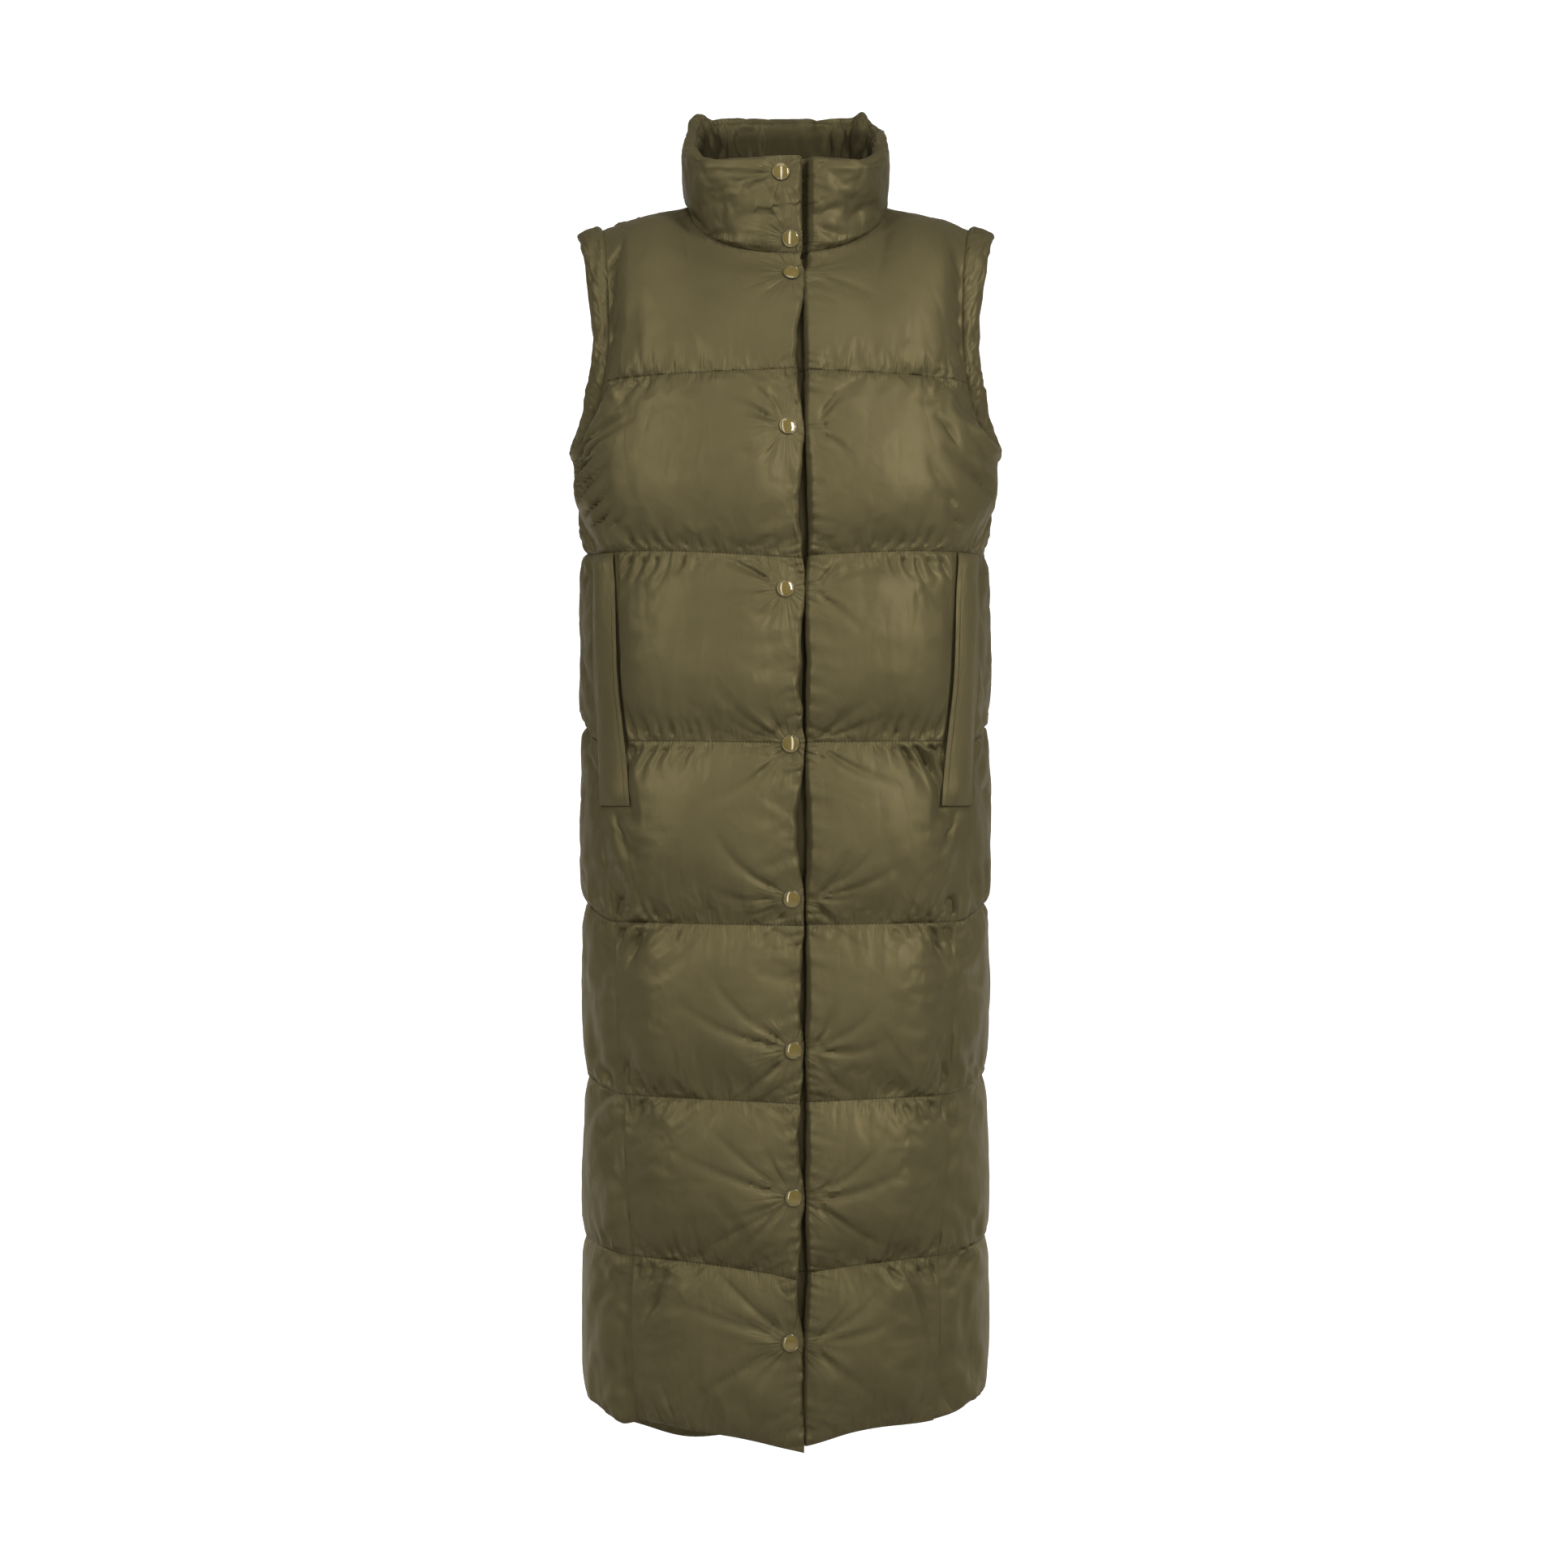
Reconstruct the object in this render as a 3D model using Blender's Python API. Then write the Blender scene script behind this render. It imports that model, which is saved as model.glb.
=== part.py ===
"""Long sleeveless down coat, hollow, in the shape it has when worn.

Metres. The origin is the centre of the neck base, level with the points where the collar meets the
shoulders. +Z is up, the front faces -Y and +X is the wearer's left. A panel is one padded wall whose
outer and inner faces swell between the quilting lines and close up to the bare cloth on them. Points
on a panel are found by a row number, which counts quilted chambers up from the hem, and by the share
of the way along that row from the panel's centre edge to its side edge.
"""

import math

import bmesh
import bpy
import numpy as np
from mathutils import Vector
from mathutils.bvhtree import BVHTree

MIRROR = (-1, 1, 1)
SEAM_GAP = 0.0004
WALL = 0.0024

# The body is one surface, given by its level section at each of these heights: half of an oval that is
# squarer than an ellipse. seam_y is the depth of the side seam, forward of the widest point.
BODY_COLUMNS = ("z", "half_width", "front", "back", "fullness", "seam_y")
BODY = np.array((
    (-1.160, 0.179, 0.120, 0.119, 2.8, -0.100),
    (-1.098, 0.180, 0.122, 0.120, 2.8, -0.101),
    (-0.948, 0.182, 0.126, 0.124, 2.8, -0.103),
    (-0.804, 0.180, 0.127, 0.126, 2.8, -0.098),
    (-0.650, 0.182, 0.127, 0.126, 2.8, -0.092),
    (-0.554, 0.182, 0.126, 0.124, 2.8, -0.080),
    (-0.490, 0.182, 0.125, 0.122, 2.8, -0.075),
    (-0.326, 0.182, 0.123, 0.119, 2.7, -0.062),
    (-0.280, 0.186, 0.123, 0.119, 2.6, -0.030),
    (-0.243, 0.187, 0.122, 0.118, 2.6, 0.000),
    (-0.211, 0.185, 0.119, 0.117, 2.6, 0.000),
    (-0.172, 0.178, 0.114, 0.113, 2.6, 0.000),
    (-0.140, 0.176, 0.110, 0.110, 2.6, 0.000),
))
# The quilting lines on it, with the underarm between the last two. A front's line runs from z_front at
# its free edge to z_side at the side seam, and the back's from z_turn at the side to z_back.
LINE_COLUMNS = ("row", "z_front", "z_side", "z_turn", "z_back")
LINES = np.array((
    (0.00, -1.122, -1.096, -1.088, -1.158),
    (1.00, -0.967, -0.950, -0.945, -0.956),
    (2.00, -0.813, -0.808, -0.799, -0.806),
    (3.00, -0.657, -0.655, -0.642, -0.650),
    (4.00, -0.497, -0.495, -0.481, -0.488),
    (5.00, -0.335, -0.326, -0.322, -0.328),
    (5.54, -0.250, -0.243, -0.243, -0.245),
    (6.00, -0.167, -0.172, -0.172, -0.163),
))
FRONT_DIP = 1.8  # how fast a front's line rises from the centre edge towards the side
BACK_DIP = 3.5  # how late a back's line turns up towards the side
BACK_TURN_SHARE = 0.62  # where along the back it reaches the side
BACK_JOIN_SHARE = 0.85  # where it leaves for the front's line at the side seam
BACK_HEM_TILT = 0.005  # the back's hem hangs this much lower at the wearer's right than at the left
UNDERARM_ROW = 5.54
UNDERARM_Z = -0.243
YOKE_ROW = 6.0
TOP_ROW = 7.0

# The armhole seen from the side is an ellipse that spans from the shoulder to the underarm.
ARMHOLE_Z = -0.133
ARMHOLE_HALF_HEIGHT = 0.110
ARMHOLE_HALF_DEPTH = 0.065

NECK_HALF_WIDTH = 0.090
NECK_FRONT = 0.077
NECK_BACK = 0.062
NECK_FRONT_DROP = 0.058
NECK_BACK_RISE = 0.012
NECK_FULLNESS = 2.2
SHOULDER_X = 0.172
SHOULDER_DROP = 0.0225
SHOULDER_ROLL = 1.25
NECK_LEAN = (0.35, 0.70)  # how far the yoke leans in as it meets the collar, at the centre and at the side
NECK_RISE = (1.00, 0.40)
NECK_TURN = (0.65, 1.25)  # shares of the neckline between which that lean turns into the shoulder's
FRONT_YOKE_START = (0.0, 0.10, 1.1)
BACK_YOKE_START = (0.0, -0.02, 1.1)
YOKE_TAPER = (-0.20, 0.15)  # sideways lean of the yoke's outer edge at its foot and at the shoulder
SHOULDER_SLOPE = 0.15

LAP = 0.0145  # each front runs this far past the centre line
UNDER_LAP_SINK = 0.0105
UNDER_LAP_WALL = 0.0035
LAP_BLEND = (0.032, 0.055)  # distances from the under edge between which it comes up to the surface

# Stations from the bottom of a row to its top, and from a panel's centre edge to its side edge.
ROW_STATIONS = (0.0, 0.09, 0.34, 0.63, 0.88)
UNDERARM_STATIONS = (0.0, 0.09, 0.30, 0.54, 0.57, 0.63, 0.74, 0.87)
YOKE_STATIONS = (0.0, 0.09, 0.28, 0.48, 0.68, 0.87, 1.0)
FRONT_STATIONS = np.array((0.0, 0.07, 0.15, 0.22, 0.30, 0.39, 0.48, 0.57, 0.69, 0.80, 0.93, 1.0))
BACK_STATIONS = np.array((0.0, 0.10, 0.20, 0.30, 0.40, 0.50, 0.62, 0.73, 0.85, 1.0))
FRONT_NECK_SHARE = 0.57
BACK_NECK_SHARE = 0.50

# How far a chamber's outer face stands out at its fullest, and the distances over which it gets there.
FRONT_PUFF = 0.016
BACK_PUFF = 0.018
YOKE_PUFF = 0.008
EDGE_PUFF = 0.005
EDGE_RISE = 0.045
SEAM_RISE = 0.045
SIDE_PUFF = 0.006
SIDE_RISE = 0.020
SIDE_REACH = 0.130  # the back panel is only this puffy round the side, up to here from its edge
SIDE_TOP_ROWS = (4.9, 5.7)  # rows over which that flatter side part narrows away below the armhole
BACK_RISE = 0.090
SHOULDER_SHARE = 0.2  # of the yoke's swell that is left on the shoulder seam
NECK_PINCH = 0.035  # the yoke's padding thins out over this distance from the collar
INNER_SHARE = 0.35  # the inner face swells by this share of the outer face's swell
SWELL_SAG = 0.88  # below 1, a chamber is fullest under its middle
SWELL_FLATNESS = 2.4
SWELL_ROOT = 0.75

POCKET_SHARE = 0.80
POCKET_BOTTOM_ROW = 3.63
POCKET_TOP_ROW = 5.0
POCKET_PUFF = 0.004
POCKET_EDGE = 0.012
POCKET_WIDTH = 0.036
POCKET_STEP = 0.030
POCKET_TOP = 0.14  # share of a row over which the strip comes off the quilting line at its top
POCKET_WALL = 0.0012

COLLAR_COLUMNS = ("height", "outer", "inner")
COLLAR_SECTION = np.array((
    (0.00, 0.0000, 0.0024),
    (0.07, 0.0045, 0.0050),
    (0.22, 0.0080, 0.0075),
    (0.45, 0.0095, 0.0090),
    (0.70, 0.0090, 0.0090),
    (0.88, 0.0075, 0.0080),
    (0.97, 0.0045, 0.0050),
    (1.00, 0.0010, 0.0015),
))
COLLAR_FRONT_TOP = 0.027
COLLAR_SIDE_TOP = 0.068
COLLAR_BACK_TOP = 0.105
COLLAR_TOP_HALF_WIDTH = 0.087
COLLAR_TOP_FRONT = 0.083
COLLAR_TOP_BACK = 0.072
COLLAR_TOP_FULLNESS = 3.2
COLLAR_LAP_SHARE = 0.35  # how much of its padding the collar keeps where its ends lap
COLLAR_LAP_INNER_SHARE = 0.5
COLLAR_FILL_START = 0.020
COLLAR_FILL_RISE = 0.040

BAND_COLUMNS = ("along", "half_thickness")
BAND_SECTION = np.array((
    (0.0008, 0.0011),
    (0.0035, 0.0042),
    (0.0090, 0.0055),
    (0.0150, 0.0050),
    (0.0195, 0.0028),
    (0.0208, 0.0008),
))
BAND_FLARE = 0.40
BAND_CENTRE_PULL = 8

CAP_COLUMNS = ("x", "z")
CAP_CENTRES = (
    (-0.0043, 0.0125),
    (0.0043, -0.0455),
    (0.0050, -0.0790),
    (0.0014, -0.2197),
    (-0.0007, -0.3620),
    (0.0042, -0.4977),
    (0.0050, -0.6333),
    (0.0064, -0.7654),
    (0.0064, -0.8940),
    (0.0035, -1.0212),
)
COLLAR_CAPS = 2
CAP_PROFILE = (
    (0.0, 0.0),
    (0.0069, 0.0),
    (0.0075, 0.0006),
    (0.0075, 0.0012),
    (0.0068, 0.0018),
    (0.0040, 0.0027),
    (0.0, 0.0030),
)
CAP_STEPS = 24

OLIVE = (0.118, 0.104, 0.056, 1.0)
ENAMEL = (0.133, 0.105, 0.042, 1.0)


def ease(x):
    """0 below 0, 1 above 1, and smooth between."""
    x = np.clip(x, 0.0, 1.0)
    return x * x * (3 - 2 * x)


def read_table(table, columns, name, at):
    """One column's value, on a monotone cubic through the table's lines in their first column."""
    keys = table[:, 0]
    values = table[:, columns.index(name)]
    slopes = np.diff(values) / np.diff(keys)
    tangents = np.concatenate((slopes[:1], np.zeros(len(keys) - 2), slopes[-1:]))
    for k in range(1, len(keys) - 1):
        if slopes[k - 1] * slopes[k] > 0:
            tangents[k] = 2 / (1 / slopes[k - 1] + 1 / slopes[k])
    k = int(np.clip(np.searchsorted(keys, at) - 1, 0, len(keys) - 2))
    span = keys[k + 1] - keys[k]
    t = (at - keys[k]) / span
    return (
        (2 * t**3 - 3 * t**2 + 1) * values[k]
        + (t**3 - 2 * t**2 + t) * span * tangents[k]
        + (3 * t**2 - 2 * t**3) * values[k + 1]
        + (t**3 - t**2) * span * tangents[k + 1]
    )


def body(name, z):
    return read_table(BODY, BODY_COLUMNS, name, z)


def line(name, row):
    return read_table(LINES, LINE_COLUMNS, name, row)


def oval(angle, half_width, front, back, fullness):
    """A point on a full oval. Angle 0 is the centre front and a quarter turn is the wearer's left."""
    sine, cosine = np.sin(angle), np.cos(angle)
    x = half_width * np.sign(sine) * np.abs(sine) ** (2 / fullness)
    depth = np.where(cosine > 0, front, back)
    return x, -depth * np.sign(cosine) * np.abs(cosine) ** (2 / fullness)


def arc_lengths(points):
    steps = np.linalg.norm(np.diff(points, axis=0), axis=1)
    return np.concatenate(([0.0], np.cumsum(steps)))


def resample(points, lengths):
    """Points at the given distances along a dense line."""
    along = arc_lengths(points)
    return np.column_stack([np.interp(lengths, along, points[:, k]) for k in range(3)])


def armhole_depth(z):
    inside = 1 - ((z - ARMHOLE_Z) / ARMHOLE_HALF_HEIGHT) ** 2
    return ARMHOLE_HALF_DEPTH * math.sqrt(max(inside, 0.0))


def half_section(z):
    """The wearer's left half of the body's section at a height, from centre front to centre back."""
    x, y = oval(
        np.linspace(0, math.pi, 361), body("half_width", z), body("front", z), body("back", z),
        body("fullness", z),
    )
    return np.column_stack((x, y, np.full(len(x), z)))


def seam_depths(z):
    """The depths at which the front and the back end at a height: on the side seam or the armhole."""
    if z <= UNDERARM_Z:
        return body("seam_y", z), body("seam_y", z)
    depth = armhole_depth(z)
    return -depth, depth


def front_row(row, shares):
    """The wearer's left front on one torso row, from its free edge past the centre to the side."""
    z_side, z_front = line("z_side", row), line("z_front", row)
    points = []
    for share in shares:
        z = z_side + (z_front - z_side) * (1 - share) ** FRONT_DIP
        ring = half_section(z)
        reach = np.interp(seam_depths(z)[0], ring[:, 1], arc_lengths(ring)) - SEAM_GAP / 2
        at = -LAP + share * (LAP + reach)
        point = resample(ring, [abs(at)])[0]
        points.append(point * (math.copysign(1, at), 1, 1))
    return np.array(points)


def back_row(row, shares):
    """The wearer's left half of the back on one torso row, from the centre to the side."""
    z_side, z_turn, z_back = line("z_side", row), line("z_turn", row), line("z_back", row)
    points = []
    for share in shares:
        out = min(share / BACK_TURN_SHARE, 1.0)
        z = z_turn + (z_back - z_turn) * (1 - out**BACK_DIP)
        z += (z_side - z_turn) * ease((share - BACK_JOIN_SHARE) / (1 - BACK_JOIN_SHARE))
        ring = half_section(z)
        whole = arc_lengths(ring)
        reach = whole[-1] - np.interp(seam_depths(z)[1], ring[:, 1], whole) - SEAM_GAP / 2
        points.append(resample(ring[::-1], [share * reach])[0])
    return np.array(points)


def neckline(angle):
    """The seam between the body and the collar."""
    x, y = oval(angle, NECK_HALF_WIDTH, NECK_FRONT, NECK_BACK, NECK_FULLNESS)
    cosine = np.cos(angle)
    z = np.where(cosine > 0, -NECK_FRONT_DROP * cosine, -NECK_BACK_RISE * cosine)
    return np.stack((x, y, z), axis=-1)


def lap_angle():
    """How far past the centre front the neckline runs, as an angle."""
    return math.asin((LAP / NECK_HALF_WIDTH) ** (NECK_FULLNESS / 2))


def neck_angles(first_angle, shares):
    """The neckline's angles at shares of the way from a first angle to the shoulder."""
    angles = np.linspace(first_angle, math.pi / 2, 400)
    along = arc_lengths(neckline(angles))
    return np.interp(shares * along[-1], along, angles)


def top_edge(shares, first_angle, neck_share, side_of_seam):
    """The panel's top edge: along the neckline to the shoulder, then along the shoulder."""
    points = neckline(neck_angles(first_angle, np.clip(shares / neck_share, 0, 1)))
    out = np.clip((shares - neck_share) / (1 - neck_share), 0, 1)
    points[:, 0] += out * (SHOULDER_X - NECK_HALF_WIDTH)
    points[:, 2] -= out * SHOULDER_DROP
    points[:, 1] += side_of_seam * SEAM_GAP / 2
    return points


def yoke_row(step, low, high, start, shares, neck_share, roll):
    """One row between the yoke line and the top edge, on cubics that roll over the shoulder."""
    span = np.linalg.norm(high - low, axis=1)[:, None]
    start = np.tile(start, (len(shares), 1))
    start[:, 0] += YOKE_TAPER[0] * shares**3
    on_neck = np.clip(shares / neck_share, 0, 1)[:, None]
    finish = -high / np.linalg.norm(high[:, :2], axis=1)[:, None]
    finish *= NECK_LEAN[0] + (NECK_LEAN[1] - NECK_LEAN[0]) * on_neck
    finish[:, 2:] = NECK_RISE[0] + (NECK_RISE[1] - NECK_RISE[0]) * on_neck
    blend = ease((shares / neck_share - NECK_TURN[0]) / (NECK_TURN[1] - NECK_TURN[0]))[:, None]
    finish = finish * (1 - blend) + np.array((0.0, roll, SHOULDER_SLOPE)) * blend
    finish[:, 0] += YOKE_TAPER[1] * shares**3
    t = step
    return (
        (2 * t**3 - 3 * t**2 + 1) * low
        + (t**3 - 2 * t**2 + t) * span * start
        + (3 * t**2 - 2 * t**3) * high
        + (t**3 - t**2) * span * finish
    )


def front_points(rows, shares):
    """The wearer's left front as an array of rows of points."""
    low = front_row(YOKE_ROW, shares)
    high = top_edge(shares, -lap_angle(), FRONT_NECK_SHARE, -1)
    found = []
    for row in rows:
        if row <= YOKE_ROW:
            found.append(front_row(row, shares))
        else:
            found.append(yoke_row(
                row - YOKE_ROW, low, high, FRONT_YOKE_START, shares, FRONT_NECK_SHARE, SHOULDER_ROLL
            ))
    return np.array(found)


def back_points(rows, shares):
    """The whole back, from the wearer's right side to the left, for shares from the centre out."""
    low = back_row(YOKE_ROW, shares)
    high = top_edge(shares, math.pi, BACK_NECK_SHARE, 1)
    found = []
    for row in rows:
        if row <= YOKE_ROW:
            half = back_row(row, shares)
        else:
            half = yoke_row(
                row - YOKE_ROW, low, high, BACK_YOKE_START, shares, BACK_NECK_SHARE, -SHOULDER_ROLL
            )
        whole = np.concatenate(((half * MIRROR)[:0:-1], half))
        whole[:, 2] += BACK_HEM_TILT / 2 * max(1 - row, 0.0) * whole[:, 0] / whole[:, 0].max()
        found.append(whole)
    return np.array(found)


def row_stations():
    rows = [k + t for k in range(5) for t in ROW_STATIONS]
    rows += [5 + t for t in UNDERARM_STATIONS]
    rows += [YOKE_ROW + t for t in YOKE_STATIONS]
    return np.array(rows)


def section_normals(points):
    """Unit normals of the body's level sections at points on them."""
    found = []
    for x, y, z in points.reshape(-1, 3):
        fullness = body("fullness", z)
        depth = body("front", z) if y < 0 else body("back", z)
        across = math.copysign(abs(x) ** (fullness - 1) / body("half_width", z) ** fullness, x)
        found.append((across, math.copysign(abs(y) ** (fullness - 1) / depth**fullness, y), 0.0))
    normals = np.array(found).reshape(points.shape)
    return normals / np.linalg.norm(normals, axis=-1, keepdims=True)


def normals_of(grid, rows, shares, neck_share, flip):
    """Unit normals of an array of rows of points on a panel, away from the body."""
    across = np.gradient(grid, axis=1)
    up = np.gradient(grid, axis=0)
    normal = np.cross(across, up) * flip
    normal /= np.linalg.norm(normal, axis=2, keepdims=True)
    torso = rows <= YOKE_ROW
    level = np.zeros_like(normal)
    level[torso] = section_normals(grid[torso])
    level[~torso] = level[torso][-1]
    blend = ease((rows - YOKE_ROW) / 0.4)[:, None, None]
    normal = level * (1 - blend) + normal * blend
    shoulder = shares >= neck_share
    normal[-1, shoulder, 1] = 0.0
    return normal / np.linalg.norm(normal, axis=2, keepdims=True)


def from_neckline(grid):
    """Each point's distance from the collar's seam."""
    seam = neckline(np.linspace(0, 2 * math.pi, 181))
    apart = np.linalg.norm(grid[:, :, None] - seam[None, None], axis=3)
    return apart.min(axis=2)


def row_arcs(grid):
    return np.array([arc_lengths(row) for row in grid])


def swell(rows):
    """How full a row is at each station: 0 on the quilting lines, fullest below the middle."""
    t = (rows % 1.0) ** SWELL_SAG
    full = (1 - np.abs(2 * t - 1) ** SWELL_FLATNESS) ** SWELL_ROOT
    return np.where(rows > YOKE_ROW + 0.5, np.maximum(full, SHOULDER_SHARE), full)


def in_pocket(rows):
    return (rows > POCKET_BOTTOM_ROW - 0.005) & (rows < POCKET_TOP_ROW + 0.005)


def front_offsets(rows, grid):
    """The outer and inner faces' distances from the front's base surface."""
    along = row_arcs(grid)
    from_side = along[:, -1:] - along
    height = np.where(rows < YOKE_ROW, FRONT_PUFF, YOKE_PUFF)[:, None]
    size = EDGE_PUFF + (height - EDGE_PUFF) * ease(along / EDGE_RISE)
    beside_pocket = POCKET_PUFF * ease(from_side / POCKET_EDGE)
    beside_pocket += (size - POCKET_PUFF) * ease((from_side - POCKET_WIDTH) / POCKET_STEP)
    size = np.where(in_pocket(rows)[:, None], beside_pocket, size * ease(from_side / SEAM_RISE))
    full = swell(rows)[:, None] * ease(from_neckline(grid) / NECK_PINCH)
    return size * full, WALL + INNER_SHARE * size * full


def back_offsets(rows, grid):
    along = row_arcs(grid)
    from_side = np.minimum(along, along[:, -1:] - along)
    height = np.where(rows < YOKE_ROW, BACK_PUFF, YOKE_PUFF)[:, None]
    far = SIDE_REACH * (1 - ease((rows - SIDE_TOP_ROWS[0]) / (SIDE_TOP_ROWS[1] - SIDE_TOP_ROWS[0])))[:, None]
    size = SIDE_PUFF * ease(from_side / SIDE_RISE)
    size += (height - SIDE_PUFF) * ease((from_side - far) / BACK_RISE)
    full = swell(rows)[:, None] * ease(from_neckline(grid) / NECK_PINCH)
    return size * full, WALL + INNER_SHARE * size * full


def material(name, colour, roughness, metallic=0.0):
    made = bpy.data.materials.new(name)
    made.use_nodes = True
    shader = made.node_tree.nodes["Principled BSDF"]
    shader.inputs["Base Color"].default_value = colour
    shader.inputs["Roughness"].default_value = roughness
    shader.inputs["Metallic"].default_value = metallic
    return made


def new_object(name, mesh_build, finish):
    """Puts a bmesh into the scene under a name, smooth, with sharp edges left sharp."""
    bmesh.ops.recalc_face_normals(mesh_build, faces=mesh_build.faces)
    mesh = bpy.data.meshes.new(name)
    mesh_build.to_mesh(mesh)
    mesh_build.free()
    mesh.materials.append(finish)
    mesh.shade_smooth()
    mesh.set_sharp_from_angle(angle=math.radians(50))
    made = bpy.data.objects.new(name, mesh)
    bpy.context.scene.collection.objects.link(made)
    return made


def loft(rings, closed):
    """A solid through rings of points. Each ring runs out along one face and back along the other, and
    the triangles on both faces are split the same way, so that the wall is even."""
    build = bmesh.new()
    lines = [[build.verts.new(point) for point in ring] for ring in rings]
    count = len(lines[0])
    pairs = list(zip(lines, lines[1:]))
    if closed:
        pairs.append((lines[-1], lines[0]))
    for low, high in pairs:
        for i in range(count):
            j = (i + 1) % count
            if i < count // 2:
                build.faces.new((low[i], low[j], high[j]))
                build.faces.new((low[i], high[j], high[i]))
            else:
                build.faces.new((low[i], low[j], high[i]))
                build.faces.new((low[j], high[j], high[i]))
    if not closed:
        for line in (lines[0], lines[-1]):
            for i in range(count // 2 - 1):
                build.faces.new((line[i], line[i + 1], line[count - 2 - i], line[count - 1 - i]))
    return build


def wall(outer, inner):
    """A padded wall between two arrays of rows of points."""
    return loft([list(out) + list(into[::-1]) for out, into in zip(outer, inner)], closed=False)


def make_fronts(cloth, rows):
    """Both fronts. The wearer's right one laps over the left one, which sinks behind it."""
    base = front_points(rows, FRONT_STATIONS)
    normals = normals_of(base, rows, FRONT_STATIONS, FRONT_NECK_SHARE, 1)
    outer, inner = front_offsets(rows, base)
    lapped = 1 - ease((row_arcs(base) - LAP_BLEND[0]) / (LAP_BLEND[1] - LAP_BLEND[0]))
    left_outer = outer * (1 - lapped) - UNDER_LAP_SINK * lapped
    left_inner = inner * (1 - lapped) + (UNDER_LAP_SINK + UNDER_LAP_WALL) * lapped
    new_object(
        "front_left",
        wall(base + normals * left_outer[..., None], base - normals * left_inner[..., None]),
        cloth,
    )
    top = base + normals * outer[..., None]
    under = base - normals * inner[..., None]
    right = new_object("front_right", wall(top * MIRROR, under * MIRROR), cloth)
    return right, base, normals, outer


def make_back(cloth, rows):
    base = back_points(rows, BACK_STATIONS)
    shares = np.concatenate((BACK_STATIONS[:0:-1], BACK_STATIONS))
    normals = normals_of(base, rows, shares, BACK_NECK_SHARE, -1)
    outer, inner = back_offsets(rows, base)
    new_object("back", wall(base + normals * outer[..., None], base - normals * inner[..., None]), cloth)
    return base, normals


def make_pocket_strips(cloth, rows, base, normals, outer):
    """Flat side strips over the fronts' outer fifth, from the second quilting line down."""
    chosen = np.where(in_pocket(rows))[0]
    columns = np.where(FRONT_STATIONS > POCKET_SHARE - 0.005)[0]
    pick = np.ix_(chosen, columns)
    lift = POCKET_PUFF * ease((POCKET_TOP_ROW - rows[chosen]) / POCKET_TOP)[:, None]
    edge = ease((row_arcs(base)[:, -1:] - row_arcs(base)) / POCKET_EDGE)[pick]
    under = np.maximum(lift * edge, outer[pick]) + SEAM_GAP
    low = base[pick] + normals[pick] * under[..., None]
    high = base[pick] + normals[pick] * (under + POCKET_WALL)[..., None]
    new_object("pocket_strip_left", wall(high, low), cloth)
    new_object("pocket_strip_right", wall(high * MIRROR, low * MIRROR), cloth)


def collar_point(angle, height):
    """The collar's middle surface. Its top edge lies in a plane that falls towards the front."""
    bottom = neckline(angle)
    x, y = oval(
        angle, COLLAR_TOP_HALF_WIDTH, COLLAR_TOP_FRONT, COLLAR_TOP_BACK, COLLAR_TOP_FULLNESS
    )
    depth = np.where(y > 0, COLLAR_TOP_BACK, COLLAR_TOP_FRONT)
    end = np.where(y > 0, COLLAR_BACK_TOP, COLLAR_FRONT_TOP)
    top = np.stack((x, y, COLLAR_SIDE_TOP + (end - COLLAR_SIDE_TOP) * np.abs(y) / depth), axis=-1)
    share = np.array((ease(height), ease(height), height))
    point = bottom + (top - bottom) * share
    point[..., 2] += SEAM_GAP * (1 - height)
    return point


def collar_angles():
    """The angles at which the panels' own stations meet the neckline, all the way round and lapped."""
    on_front = FRONT_STATIONS[FRONT_STATIONS <= FRONT_NECK_SHARE]
    on_back = BACK_STATIONS[BACK_STATIONS <= BACK_NECK_SHARE]
    front = neck_angles(-lap_angle(), on_front / FRONT_NECK_SHARE)
    back = neck_angles(math.pi, on_back / BACK_NECK_SHARE)
    half = np.concatenate((front, back[-2::-1]))
    return np.concatenate((half, 2 * math.pi - half[-2::-1]))


def make_collar(cloth):
    """A padded strip round the neck, whose under end lies inside its over end at the front."""
    angles = collar_angles()
    grid = np.array([collar_point(angles, height) for height in COLLAR_SECTION[:, 0]])
    across = np.gradient(grid, axis=1)
    normals = np.cross(across, (0.0, 0.0, 1.0))
    normals /= np.linalg.norm(normals, axis=2, keepdims=True)
    along = arc_lengths(grid[len(grid) // 2])
    lapped = 1 - ease((along - LAP_BLEND[0]) / (LAP_BLEND[1] - LAP_BLEND[0]))
    near_end = np.minimum(along, along[-1] - along)
    fill = COLLAR_LAP_SHARE + (1 - COLLAR_LAP_SHARE) * ease(
        (near_end - COLLAR_FILL_START) / COLLAR_FILL_RISE
    )
    outer = COLLAR_SECTION[:, 1:2] * fill
    inner = COLLAR_SECTION[:, 2:3] * np.maximum(fill, COLLAR_LAP_INNER_SHARE)
    outer = outer * (1 - lapped) - UNDER_LAP_SINK * lapped
    inner = inner * (1 - lapped) + (UNDER_LAP_SINK + UNDER_LAP_WALL) * lapped
    top = grid + normals * outer[..., None]
    under = grid - normals * inner[..., None]
    return new_object("collar", wall(top.transpose(1, 0, 2), under.transpose(1, 0, 2)), cloth)


def armhole_edge(base, normals, rows):
    """A panel's edge along the armhole, upwards from the underarm, with its normals."""
    along = rows >= UNDERARM_ROW - 0.001
    return base[along, -1], normals[along, -1]


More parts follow.
